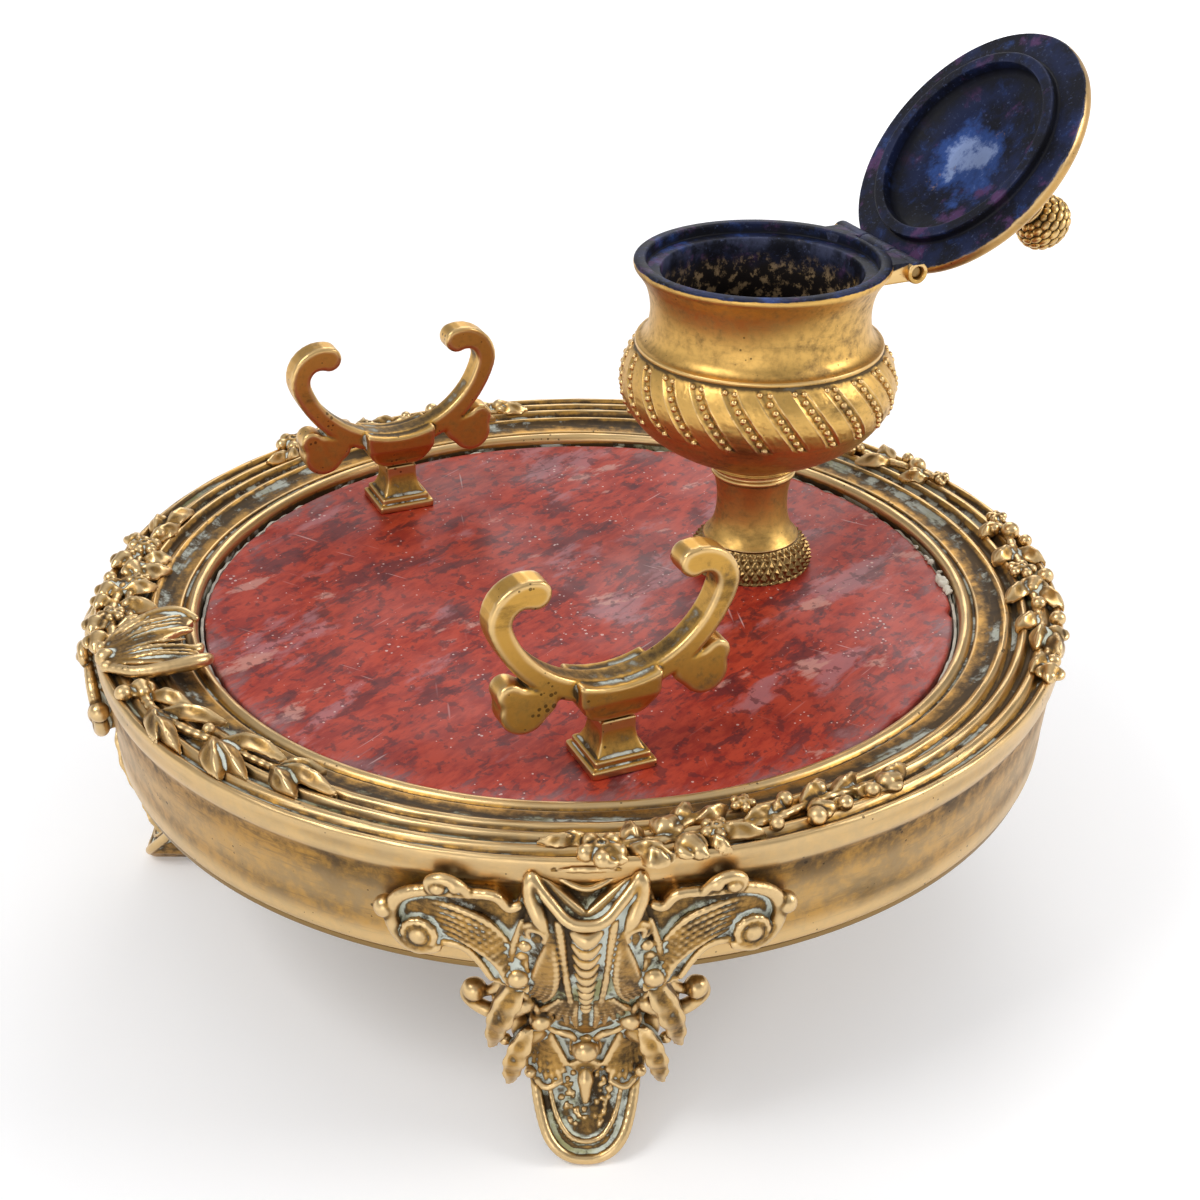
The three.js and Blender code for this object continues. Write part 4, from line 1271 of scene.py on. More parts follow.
@dataclass
class Tray:
    """The rim casting, the marble top in its plaster bed, and the base plate.

    Args:
        marble_radius: Radius of the marble.
        marble_thickness: Its thickness.
        seat: Radius of the wall round the marble.
        depth: Height of the drum wall.
        foot_radius: The wall's radius at its foot.
        plate_radius: Radius of the base plate.
        plate: Lowest and highest height of the base plate.
        facets: How many facets go round.
        crumbs_at: Azimuth and radius of each crumb of plaster.
    """

    marble_radius: float = 75.0
    marble_thickness: float = 10.0
    seat: float = 76.2
    depth: float = 20.0
    foot_radius: float = 93.8
    plate_radius: float = 93.2
    plate: tuple[float, float] = (-21.5, -20.3)
    facets: int = 360
    crumbs_at: tuple[tuple[float, float], ...] = (
        (66.5, 0.7), (67.4, 0.95), (68.6, 0.6), (69.2, 1.15), (70.3, 1.05), (71.0, 0.8),
        (71.9, 0.65), (73.4, 0.5), (76.8, 0.75), (78.1, 0.6), (79.0, 0.45), (82.5, 0.5),
    )

    def rim_profile(self) -> Array:
        """Draw the section of the rim casting.

        Returns:
            Rows of radius and height, as a closed line.
        """
        moulding = flowing(
            [
                (self.seat, -0.4), (76.35, 1.0), (76.8, 1.7), (77.5, 2.0), (78.2, 1.75), (78.6, 1.35),
                (78.9, 1.1), (79.3, 1.15), (79.6, 1.6), (80.5, 1.68), (82.0, 1.85), (83.4, 2.2),
                (84.3, 2.75), (84.9, 2.98), (85.5, 2.8), (85.9, 2.3), (86.3, 1.98), (86.8, 1.9),
                (87.2, 2.15), (87.7, 2.95), (88.3, 3.42), (88.9, 3.35), (89.3, 2.85), (89.7, 2.3),
                (90.2, 2.15), (90.7, 2.4), (91.2, 3.05), (91.8, 3.46), (92.5, 3.44), (93.0, 3.05),
                (93.4, 2.6), (93.8, 2.48), (94.2, 2.75), (94.7, 3.3), (95.3, 3.57), (95.8, 3.35),
                (96.08, 2.75), (96.1, 1.6), (96.05, 0.3), (95.9, -0.9), (95.5, -1.9), (95.15, -3.0),
                (94.85, -5.5), (94.6, -8.5), (94.35, -11.5), (94.1, -14.5), (93.95, -17.5),
                (self.foot_radius, -self.depth + 0.4),
            ],
            3,
        )
        under = eased(
            [
                (self.foot_radius, -self.depth + 0.4), (self.foot_radius - 0.3, -self.depth),
                (91.0, -self.depth), (91.0, -1.3), (79.0, -1.3), (79.0, -13.5), (67.2, -13.5),
                (67.2, -10.3), (self.seat, -10.3), (self.seat, -0.4),
            ],
            0.25,
        )
        return np.vstack([moulding[:-1], under[:-1]])

    def rim(self) -> Skin:
        """Make the rim casting, a little uneven as hand work is.

        Returns:
            The casting.
        """

        def uneven(radius: Array, height: Array, angle: Array) -> tuple[Array, Array]:
            """Shift the ridges by a few hundredths."""
            wave = 0.05 * np.sin(3 * angle + 0.7) + 0.035 * np.sin(11 * angle + height)
            worn = 0.03 * np.sin(47 * angle + 9 * radius) * (height > 1.8)
            return radius + wave * (height > -2), height + worn

        return lathe(self.rim_profile(), self.facets, uneven)

    def marble(self) -> Skin:
        """Make the marble with a chipped upper edge.

        Returns:
            The marble.
        """
        wide, low = self.marble_radius, -self.marble_thickness
        edge = eased([(0, low), (wide, low), (wide, 0), (0, 0)], 0.7, 4)
        rings = np.linspace(wide - 1.5, 0, 12)[:-1]
        inner = np.column_stack([rings, np.zeros(len(rings))])
        profile = np.vstack([edge[:-1], inner, edge[-1:]])

        def chipped(radius: Array, height: Array, angle: Array) -> tuple[Array, Array]:
            """Break small chips out of the edge."""
            waves = np.sin(13 * angle + 1.1) + np.sin(31 * angle) + np.sin(53 * angle + 2)
            bite = np.maximum(waves - 1.6, 0)
            near = np.exp(-(((radius - wide) / 0.9) ** 2)) * (height > -1)
            return radius - 0.5 * bite * near, height - 0.25 * bite * near

        return lathe(profile, self.facets, chipped)

    def bedding(self) -> Skin:
        """Make the plaster ring, crumbled away unevenly.

        Returns:
            The ring.
        """
        near, far = self.marble_radius + 0.3, self.seat - 0.3
        corners = [(near, -6.3), (far, -6.3), (far, -0.5), (near, -0.5), (near, -6.3)]
        profile = eased(corners, 0.12, 2)[:-1]

        def crumbled(radius: Array, height: Array, angle: Array) -> tuple[Array, Array]:
            """Let its top rise and fall."""
            lump = np.sin(17 * angle) + np.sin(41 * angle + 1.3) + np.sin(97 * angle + 0.4)
            return radius, height + (height > -3) * 0.22 * (lump - 1.6)

        return lathe(profile, 2 * self.facets, crumbled)

    def crumbs(self) -> Skin:
        """Make the crumbs of plaster that have been pushed up over the marble's edge.

        Returns:
            The crumbs.
        """
        chance = np.random.default_rng(9)
        clay = Clay([5.0, 64.0, 0.0], [34.0, 79.0, 2.6], 0.22)
        for azimuth, size in self.crumbs_at:
            turn, away = math.radians(azimuth), self.marble_radius + chance.uniform(-0.7, 0.3)
            spot = np.array([away * math.cos(turn), away * math.sin(turn), 0.45 * size])
            clay.add(round_form(spot, size), blend=0.3)
            for nudge in chance.uniform(-0.75, 0.75, (4, 3)):
                clay.add(round_form(spot + size * nudge, size * chance.uniform(0.3, 0.6)), blend=0.1)
            for nudge in chance.normal(size=(3, 3)):
                clay.cut(round_form(spot + 1.5 * size * nudge / np.linalg.norm(nudge), size * 0.8))
        marble = Form((0.0, 60.0, -1.0), (40.0, 80.0, 0.6), lambda p: p[..., 2] - 0.04)
        clay.cut(marble, Garlands(self).under())
        return clay.skin()

    def base(self) -> Skin:
        """Make the base plate."""
        wide, (low, high) = self.plate_radius, self.plate
        return lathe(eased([(0, low), (wide, low), (wide, high), (0, high)], 0.3), self.facets)

    def build(self) -> None:
        """Make and dress the tray's pieces."""
        plaster = joined([self.bedding(), self.crumbs()])
        make_piece("rim", self.rim(), Finishes.RIM_GILT, "stand", ["rim_casting"])
        make_piece("marble", self.marble(), Finishes.MARBLE, "stand", ["marble_top"])
        make_piece("plaster", plaster, Finishes.PLASTER, "stand", ["plaster_bedding"])
        make_piece("floor_plate", self.base(), Finishes.DARK_BRONZE, "stand", ["base_plate"])
        for number in (1, 2, 3):
            dress_node(f"base_screw_{number}", Finishes.IRON)


# The inkwell


@dataclass
class Inkwell:
    """The footed well: studded ring, stem, and bowl with its spiral band and hinge knuckles.

    Args:
        back: How far behind the marble's middle it stands.
        foot: Height of the bowl's foot.
        lip: Height of the lip.
        studs: How many studs go round the foot ring.
        strips: How many beaded strips wind round the band.
        band: Lowest and highest height of that band.
        twist: How far a strip winds, in degrees.
        reach: How far the hinge's axis is from the well's.
        hinge_height: Height of the hinge's axis.
        knuckle: Radius of the hinge's barrel.
        bore: Radius of the hole for its pin.
        leaf: Half the length of the lid's knuckle.
        play: The gap between lid and well where one is notched for the other.
        floor: Height of the hollow's floor.
    """

    back: float = 39.0
    foot: float = 22.4
    lip: float = 66.0
    studs: int = 40
    strips: int = 24
    band: tuple[float, float] = (35.6, 48.3)
    twist: float = 18.5
    reach: float = 26.25
    hinge_height: float = 63.8
    knuckle: float = 2.2
    bore: float = 1.3
    leaf: float = 5.0
    play: float = 0.3
    floor: float = 25.8

    def placed(self, skin: Skin) -> Skin:
        """Shift a skin from the marble's middle to where the well stands."""
        return skin.shifted((0, self.back, 0))

    def hinge(self) -> tuple[float, float, float]:
        """Give the middle of the hinge's axis."""
        return 0, self.back + self.reach, self.hinge_height

    def outside(self) -> Array:
        """Draw the bowl's outer line, from the axis up to the lip.

        Returns:
            Rows of radius and height.
        """
        lower = flowing(
            [
                (7.8, self.foot), (8.9, self.foot + 0.1), (9.5, self.foot + 0.6), (9.3, self.foot + 1.2),
                (10.3, 24.3), (13.4, 25.7), (18.4, 28.3), (22.8, 31.5), (25.8, 35.2), (27.3, 38.8),
                (27.5, 41.4), (27.0, 44.2), (25.9, 46.6), (24.6, 48.5),
            ],
            6,
        )
        upper = flowing(
            [
                (24.75, 48.95), (24.6, 49.5), (23.5, 50.0), (22.5, 51.3), (21.95, 53.5), (21.8, 56.0),
                (22.1, 58.6), (22.9, 61.2), (24.1, 63.2), (24.95, 64.3), (25.2, 65.0),
                (25.1, 65.6), (24.7, self.lip - 0.05),
            ],
            5,
        )
        return np.vstack([[(0, self.foot)], lower, upper])

    def inside(self) -> Array:
        """Draw the bowl's inner line, from the lip down to the axis.

        Returns:
            Rows of radius and height.
        """
        corners = [
            (24.7, self.lip - 0.05), (23.1, self.lip), (22.75, 65.7), (22.7, 63.75), (19.9, 63.6),
            (19.7, 62.0),
        ]
        ledge = eased(corners, 0.35, 4)[1:]
        hollow = flowing(
            [
                (19.7, 60.0), (19.75, 54.8), (21.2, 50.0), (24.0, 45.5), (25.0, 40.0), (23.8, 34.5),
                (19.4, 29.6), (12.0, 26.9), (5.0, 26.0), (0, self.floor),
            ],
            4,
        )
        return np.vstack([ledge, hollow])

    def strip_share(self, height: Array, angle: Array) -> Array:
        """Say where across its strip a point lies, from 0 to 1."""
        return ((angle - self.wound(height)) * self.strips / (2 * math.pi)) % 1

    def wound(self, height: Array | float) -> Array | float:
        """Say how far the strips have wound round at a height, in radians."""
        low, high = self.band
        return math.radians(self.twist) * (high - height) / (high - low)

    def bowl(self) -> Skin:
        """Make the bowl with its relief, beads and outer knuckles.

        Returns:
            The bowl.
        """
        low, high = self.band
        outer = self.outside()
        heights = np.linspace(low - 1, high + 0.8, 64)
        smooth = outer[(outer[:, 1] > low - 3) & (outer[:, 1] < high + 2)]
        fine = np.column_stack([np.interp(heights, smooth[:, 1], smooth[:, 0]), heights])
        profile = np.vstack(
            [outer[outer[:, 1] < low - 1.2], fine, outer[outer[:, 1] > high + 1.0], self.inside()]
        )

        def carved(radius: Array, height: Array, angle: Array) -> tuple[Array, Array]:
            """Sink the beaded channels and raise the strips between them."""
            outwards = np.zeros(len(radius), bool)
            outwards[: len(profile) - len(self.inside())] = True
            share = self.strip_share(height, angle)
            ends = np.clip((height - low) / 0.8, 0, 1) * np.clip((high - height) / 0.8, 0, 1)
            channel = -0.24 * np.exp(-(((share - 0.2) / 0.16) ** 6))
            borders = 0.16 * sum(np.exp(-(((share - c) / 0.02) ** 2)) for c in (0.43, 0.96))
            crown = 0.14 * np.exp(-(((share - 0.69) / 0.28) ** 8))
            cells = np.floor(height / 0.62) * 12.9898 + np.floor(share * 9) * 78.233
            pecked = np.sin(cells + np.floor((angle / (2 * math.pi) * self.strips)) * 3.7) * 43758.5
            rungs = 0.06 * ((pecked % 1) - 0.5) * np.exp(-(((share - 0.69) / 0.19) ** 6))
            relief = (channel + borders + crown + rungs) * ends
            made = radius + relief * outwards[:, None]
            behind = (np.abs(made * np.cos(angle)) < self.leaf + self.play / 2) & (np.sin(angle) > 0)
            notch = (self.reach - self.knuckle - self.play) / np.maximum(np.sin(angle), 0.5)
            return np.where(behind & (height > self.lip - 5.5), np.minimum(made, notch), made), height

        parts = [lathe(profile, 960, carved), *self.beads(outer)]
        start, end = self.leaf + self.play, self.leaf + self.play + 9.5
        tube = barrel(self.bore, self.knuckle, start, end)
        for side in (1, -1):
            turned = tube.moved(np.diag([1, 1, side])).outward()
            near, far = side * start, side * (end - 1.3)
            web = prism(
                [(near, 22.4), (far, 18.9), (far, self.reach), (near, self.reach)],
                self.hinge_height - 2.0, self.hinge_height + 1.9, 0.25,
            )
            parts += [turned.moved(ALONG_X, (0, self.reach, self.hinge_height)), web]
        return self.placed(joined(parts))

    def beads(self, outer: Array) -> list[Skin]:
        """Make the bead rows that run down the sunk channels.

        Args:
            outer: The bowl's outer line.

        Returns:
            The beads.
        """
        low, high = self.band
        rows = [(0.2, h, 0.7) for h in np.linspace(low + 1.0, high - 2.4, 7)]
        rows += [(0.06, high - 0.9, 0.62), (0.34, high - 1.0, 0.62)]
        parts = []
        for strip in range(self.strips):
            for share, height, size in rows:
                angle = (strip + share) * 2 * math.pi / self.strips + self.wound(height)
                radius = np.interp(height, outer[1:, 1], outer[1:, 0]) - 0.15
                place = (radius * math.cos(angle), radius * math.sin(angle), height)
                parts.append(ball(place, size, 10, 6))
        return parts

    def stem(self) -> Skin:
        """Make the flared stem with its collar.

        Returns:
            The stem.
        """
        side = flowing(
            [
                (9.6, 6.4), (9.9, 6.55), (9.7, 6.95), (8.9, 7.9), (8.1, 9.3), (7.55, 11.2),
                (7.3, 13.6), (7.35, 16.2), (7.7, 18.6), (8.1, 20.2),
            ],
            5,
        )
        top = self.foot - 0.1
        collar = flowing([(8.4, 20.5), (8.65, 20.8), (8.55, 21.3), (8.2, 21.7), (8.2, top)], 4)
        return self.placed(lathe(np.vstack([[(0, 6.4)], side, collar, [(0, top)]]), 160))

    def ring(self) -> Skin:
        """Make the foot ring with its diamond studs.

        Returns:
            The ring.
        """
        side = flowing([(12.4, 0.1), (12.85, 0.8), (12.8, 2.2), (12.2, 3.9), (11.2, 5.4), (9.6, 6.3)], 9)

        def studded(radius: Array, height: Array, angle: Array) -> tuple[Array, Array]:
            """Raise a pyramid at each crossing of a slanting lattice."""
            across = angle * self.studs / (2 * math.pi)
            up = (height - 0.2) / 1.25
            first = np.abs(((across + up / 2) % 1) - 0.5)
            second = np.abs(((across - up / 2) % 1) - 0.5)
            stud = np.clip(1 - 2.3 * np.maximum(0.5 - first, 0.5 - second), 0, 1) ** 1.4
            fade = np.clip((height - 0.1) / 0.5, 0, 1) * np.clip((6.2 - height) / 0.5, 0, 1)
            return radius + 0.95 * (stud - 0.75) * fade * (radius > 8.5), height

        return self.placed(lathe(np.vstack([[(0, 0.1)], side, [(0, 6.3)]]), 640, studded))

    def build(self) -> None:
        """Make and dress the well's pieces."""
        bowl = self.bowl()
        away = np.hypot(bowl.points[:, 0], bowl.points[:, 1] - self.back)
        height = bowl.points[:, 2]
        outer = self.outside()[1:]
        inner = (away < np.interp(height, outer[:, 1], outer[:, 0]) - 1.0) & (height > self.floor - 0.1)
        lip = np.clip((height - self.lip + 1.3) / 1.1, 0, 1) * 0.66
        carved = np.interp(height, [34.6, 35.6, 49.0, 50.2, 64.0, 65.0], [0.0, 1.0, 1.0, 0.0, 0.0, 0.6])
        crust = np.interp(height, [52, 62, 64], [-1.0, -0.15, 0.1])
        marks = {
            "carved": np.where(inner, 0.7, carved), "ink": np.where(inner, 0.95, lip),
            "pale": np.where(inner, crust, 0.05),
        }
        make_piece("well_bowl", bowl, Finishes.SMOOTH_GILT, "stand", ["inkwell_bowl"], marks=marks)
        stem = self.stem()
        smooth = {"carved": np.interp(stem.points[:, 2], [6.6, 8.0, 20.0, 20.5], [1.0, 0.0, 0.0, 1.0])}
        make_piece("well_stem", stem, Finishes.SMOOTH_GILT, "stand", ["inkwell_stem"], marks=smooth)
        make_piece("well_ring", self.ring(), Finishes.DARK_BRONZE, "stand", ["inkwell_foot_ring"])
        for name in ("inkwell_tie_rod", "inkwell_washer", "inkwell_nut"):
            dress_node(name, Finishes.IRON)


@dataclass
class Lid:
    """The domed lid with its sealing ring, tongue and berry, and the pin that it turns on.

    Args:
        well: The well that it closes.
        open_angle: How far it stands open, in degrees.
        seat: How far its flange is above the hinge's axis when it is closed.
        radius: Radius of the flange.
        height: Height of the dome over the flange's under face.
        berry_size: Radius of the knob, and half its height.
        pin_radius: Radius of the hinge's pin.
        pin_half: Half its length.
    """

    well: Inkwell = field(default_factory=Inkwell)
    open_angle: float = 130.0
    seat: float = 2.5
    radius: float = 27.2
    height: float = 20.8
    berry_size: tuple[float, float] = (5.75, 4.7)
    pin_radius: float = 1.15
    pin_half: float = 14.0

    def opened(self, skin: Skin) -> Skin:
        """Turn a skin, made closed with the hinge's axis as its origin, to the open lid."""
        return skin.moved(about_x(-self.open_angle), self.well.hinge())

    def shell(self) -> Skin:
        """Make the dome, its dished under side, the ring, the tongue and its knuckle.

        Returns:
            The lid.
        """
        dome = flowing(
            [
                (self.radius - 0.3, 0.0), (self.radius, 0.5), (self.radius, 1.6), (26.8, 2.6), (25.4, 3.5),
                (22.6, 5.2), (20.1, 6.8), (17.1, 8.7), (13.7, 10.8), (10.2, 12.4), (7.0, 13.6), (4.6, 15.4),
                (3.5, 18.0), (3.1, self.height),
            ],
            5,
        )
        under = eased(
            [
                (0, 4.6), (8.0, 4.2), (14.0, 3.2), (18.2, 1.5), (18.9, 0.4), (19.0, -2.0),
                (19.3, -2.2), (21.0, -2.2), (21.25, -2.0), (21.3, -0.05), (self.radius - 0.3, 0.0),
            ],
            0.5, 4,
        )
        shell = lathe(np.vstack([under[:-1], dome, [(0, self.height)]]), 320)
        shell = shell.shifted((0, -self.well.reach, self.seat))
        leaf = self.well.leaf
        knuckle = barrel(self.well.bore, self.well.knuckle, -leaf, leaf).moved(ALONG_X)
        tongue = prism([(-leaf, -1.6), (leaf, -1.6), (leaf, 1.3), (-leaf, 1.3)], 1.2, 4.4, 0.3)
        return self.opened(joined([shell, knuckle, tongue]))

    def berry(self) -> Skin:
        """Make the knob, with its drupelets in slanting rows.

        Returns:
            The knob on its short stalk.
        """
        wide, tall = self.berry_size
        bottom = self.height + 0.05
        stalk = flowing(
            [
                (1.8, bottom), (2.4, bottom + 0.1), (3.2, bottom + 0.35), (3.8, bottom + 0.8),
                (3.6, bottom + 1.3), (3.1, bottom + 1.6),
            ],
            4,
        )
        middle = bottom + 6.2
        angle = np.linspace(math.radians(-62), math.pi / 2, 60)
        round_part = np.column_stack([wide * np.cos(angle), middle + tall * np.sin(angle)])

        def grown(radius: Array, height: Array, turn: Array) -> tuple[Array, Array]:
            """Raise the drupelets."""
            lean = np.arcsin(np.clip((height - middle) / tall, -1, 1))
            across = turn * 14 / (2 * math.pi)
            up = lean / 0.30
            row = np.round(up)
            shift = (across + 0.5 * (row % 2)) % 1 - 0.5
            near = np.sqrt(np.clip(1 - (2 * shift) ** 2 * 0.9 - (2 * (up - row)) ** 2 * 0.9, 0, 1))
            on = (height > middle - tall + 0.3) & (radius > 0.9)
            swell = 0.42 * (near - 0.35) * on
            return radius + swell * np.cos(lean), height + swell * np.sin(lean)

        profile = np.vstack([[(0, bottom)], stalk, round_part[:-1], [(0, middle + tall)]])
        return self.opened(lathe(profile, 280, grown).shifted((0, -self.well.reach, self.seat)))

    def pin(self) -> Skin:
        """Make the hinge pin."""
        wide, half = self.pin_radius, self.pin_half
        line = eased([(0, -half), (wide, -half), (wide, half), (0, half)], 0.3)
        return lathe(line, 32).moved(ALONG_X, self.well.hinge())

    def build(self) -> None:
        """Make and dress the lid's pieces."""
        shell = self.shell()
        closed = (shell.points - self.well.hinge()) @ about_x(-self.open_angle)
        away = np.hypot(closed[:, 0], closed[:, 1] + self.well.reach)
        level = closed[:, 2] - self.seat
        under = (level < 4.7) & (away < 26.95) & (level < 0.3 + 4.5 * (away < 19.1))
        edge = np.clip(1 - (level - 0.1) / 1.6, 0, 1) * 0.55
        ink = np.where(under, 0.95, np.where(level < 3, edge, 0.0))
        tongue = (np.abs(closed[:, 0]) < 5.2) & (away > 24.5) & (closed[:, 1] > -self.well.reach)
        ink = np.where(level < -0.1 + 3 * tongue, 0.9, ink)
        spot = np.exp(-(((closed[:, 0] + 4) / 7.5) ** 2) - ((closed[:, 1] + 25) / 6.5) ** 2)
        dished = np.where(under & (away < 17.6), 0.12, 0.8)
        marks = {"ink": ink, "pale": np.clip(1.2 * spot, 0, 1), "carved": dished}
        make_piece("lid_shell", shell, Finishes.LID_METAL, "lid", ["lid"], marks=marks)
        make_piece("lid_berry", self.berry(), Finishes.SMOOTH_GILT, "lid", ["lid_knob"])
        make_piece("lid_pin", self.pin(), Finishes.DARK_BRONZE, "stand", ["hinge_pin"])


# The cast mounts on the rim


@dataclass(frozen=True)
class Sprig:
    """What one garland is made of. Each place is an azimuth in degrees and a radius.

    Args:
        node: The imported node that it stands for.
        stalks: Lines of places that the stalks follow.
        leaves: The place of each leaf's foot, that of its tip, and its width.
        buds: Each bud's place, its radius, and the azimuth and radius that it points at.
        blooms: Each open flower's place and radius.
        berries: Each berry's place and radius.
    """

    node: str
    stalks: tuple = ()
    leaves: tuple = ()
    buds: tuple = ()
    blooms: tuple = ()
    berries: tuple = ()

    def mirrored(self, node: str, middle: float) -> "Sprig":
        """Give the sprig that lies on the other side of a plane.

        Args:
            node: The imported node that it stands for.
            middle: The plane's azimuth.

        Returns:
            The mirrored sprig.
        """

        def across(items: tuple, *columns: int) -> tuple:
            """Mirror the azimuths that stand in some columns of each item."""
            return tuple(
                tuple(2 * middle - v if k in columns else v for k, v in enumerate(item)) for item in items
            )

        return Sprig(
            node, tuple(across(line, 0) for line in self.stalks), across(self.leaves, 0, 2),
            across(self.buds, 0, 3), across(self.blooms, 0), across(self.berries, 0),
        )


FLOWER_SPRAY = Sprig(
    "flower_spray",
    stalks=(
        ((-99, 92.5), (-105, 92.6), (-110, 92), (-116, 91), (-122, 91.5), (-128, 91), (-132, 90.5)),
        ((-102, 89), (-108, 89.6), (-113.5, 90.5)),
    ),
    leaves=(
        (-106.8, 91.5, -105.2, 83.6, 6.2), (-110.0, 91.5, -111.6, 84.6, 4.0),
        (-115.0, 91.0, -116.6, 83.2, 5.4), (-119.0, 90.4, -119.8, 84.6, 4.2),
        (-124.5, 92.0, -129.6, 88.6, 5.0), (-121.0, 92.5, -125.6, 95.2, 4.2),
        (-128.0, 91.0, -134.6, 89.6, 4.6), (-100.8, 91.5, -102.6, 86.0, 4.6),
        (-113.0, 92.0, -110.2, 96.4, 4.0), (-126.5, 92.0, -131.5, 94.8, 4.2),
        (-104.0, 92.4, -100.2, 96.0, 4.2),
    ),
    buds=(
        (-115.6, 90.5, 2.3, -114.0, 88.0), (-118.0, 94.3, 2.2, -116.5, 95.5),
        (-109.9, 94.4, 2.1, -108.0, 95.5), (-101.5, 95.6, 2.1, -99.5, 96.5),
        (-97.3, 95.2, 2.4, -95.5, 96.0), (-107.2, 95.0, 1.8, -105.5, 96.0),
        (-124.0, 94.8, 1.9, -126.0, 95.5),
    ),
    blooms=((-121.8, 91.3, 3.6), (-103.4, 92.4, 3.0), (-112.4, 88.6, 2.6)),
    berries=(
        (-94.9, 93.9, 1.2), (-126.0, 90.6, 1.5), (-113.2, 94.6, 1.4), (-129.6, 92.8, 1.3),
        (-106.0, 89.6, 1.3), (-119.5, 93.0, 1.2),
    ),
)
LAUREL_SPRAY = Sprig(
    "laurel_spray",
    stalks=(((-85, 91.2), (-80, 91.4), (-75, 90), (-70, 88), (-65, 87), (-60, 86.6)),),
    leaves=(
        (-79.4, 90.6, -72.0, 82.8, 3.8), (-80.6, 91.8, -73.6, 96.0, 3.6), (-79.0, 91.4, -70.4, 94.4, 3.6),
        (-83.6, 90.0, -78.0, 85.2, 3.6), (-70.6, 87.6, -63.4, 95.2, 5.6), (-70.2, 87.8, -60.8, 92.3, 4.2),
        (-69.6, 87.2, -60.4, 83.6, 3.6), (-60.8, 86.8, -54.6, 91.4, 4.4), (-60.2, 86.4, -51.2, 87.2, 3.8),
        (-60.4, 86.0, -54.8, 82.4, 3.2),
    ),
    buds=((-84.6, 91.0, 2.1, -81, 91.0),),
    berries=((-84.6, 94.4, 1.6), (-72.0, 87.0, 1.2)),
)
LEG_GARLAND = Sprig(
    "leg_garland_right",
    stalks=(
        ((-21, 92.5), (-15, 91.6), (-9, 91), (-3, 90.4), (3, 88.6), (9, 89), (13, 90)),
        ((-14.5, 90), (-11, 86.5), (-8, 85)),
    ),
    leaves=(
        (-9.8, 91.2, -4.6, 93.6, 3.6), (-13.6, 88.4, -10.6, 82.2, 4.2), (-11.0, 87.4, -6.6, 84.6, 3.8),
        (-6.5, 90.4, -1.6, 88.0, 3.8), (-3.0, 90.0, -0.6, 86.0, 3.2), (-17.6, 91.8, -18.6, 86.0, 4.4),
        (1.0, 88.6, 6.0, 84.6, 3.8), (4.8, 88.4, 10.0, 85.4, 3.4), (10.5, 90.0, 15.6, 88.8, 4.2),
        (-18.8, 93.0, -14.4, 96.4, 4.4), (-10.6, 92.5, -8.8, 96.6, 3.8), (-22.0, 92.0, -25.4, 88.8, 4.0),
        (7.4, 89.2, 10.4, 92.6, 3.4), (-17.6, 94.6, -15.0, 97.4, 4.6), (-23.4, 90.6, -28.0, 91.6, 3.6),
    ),
    buds=(
        (-12.6, 94.9, 2.5, -11.4, 97.5), (-14.3, 88.6, 2.4, -13.0, 86.5), (11.6, 91.0, 2.2, 15.0, 91.0),
        (-20.4, 96.0, 1.9, -18.4, 97.0), (2.4, 91.6, 2.1, 5.0, 92.5),
    ),
    blooms=((-21.4, 94.2, 4.3), (-9.5, 91.3, 3.0), (-5.2, 85.6, 2.4)),
    berries=(
        (1.1, 93.4, 1.7), (-0.5, 87.0, 1.5), (5.0, 92.2, 1.4), (4.0, 86.6, 1.4), (8.8, 91.4, 1.4),
        (-16.2, 94.6, 1.5), (-3.2, 92.6, 1.3),
    ),
)
BACK_GARLAND = Sprig(
    "back_garland_right",
    stalks=(
        ((84, 93.2), (78, 92.6), (72, 91), (66, 91.4), (60, 91), (54, 92), (48, 93.6), (43, 94.8)),
    ),
    leaves=(
        (74.8, 91.4, 71.0, 85.6, 4.8), (74.4, 92.4, 70.4, 96.2, 4.8), (64.4, 90.4, 60.0, 85.4, 4.6),
        (63.6, 92.2, 58.6, 96.4, 4.6), (56.6, 91.0, 52.4, 87.0, 4.4), (54.0, 92.4, 47.8, 91.4, 4.4),
        (52.0, 93.2, 47.0, 96.0, 4.2), (47.0, 94.0, 41.8, 92.0, 4.0), (82.0, 92.0, 79.0, 87.2, 4.0),
    ),
    buds=((63.8, 91.4, 2.3, 61.6, 90.0), (42.4, 95.4, 2.2, 39.5, 96.0), (51.4, 94.6, 2.1, 49.0, 96.0)),
    blooms=((68.0, 90.2, 3.2), (83.2, 93.8, 2.4)),
    berries=(
        (78.8, 93.4, 2.0), (80.2, 90.6, 1.5), (66.2, 94.4, 1.7), (59.0, 91.4, 1.5), (55.4, 94.8, 1.6),
        (45.2, 95.2, 1.4), (76.0, 95.0, 1.4),
    ),
)


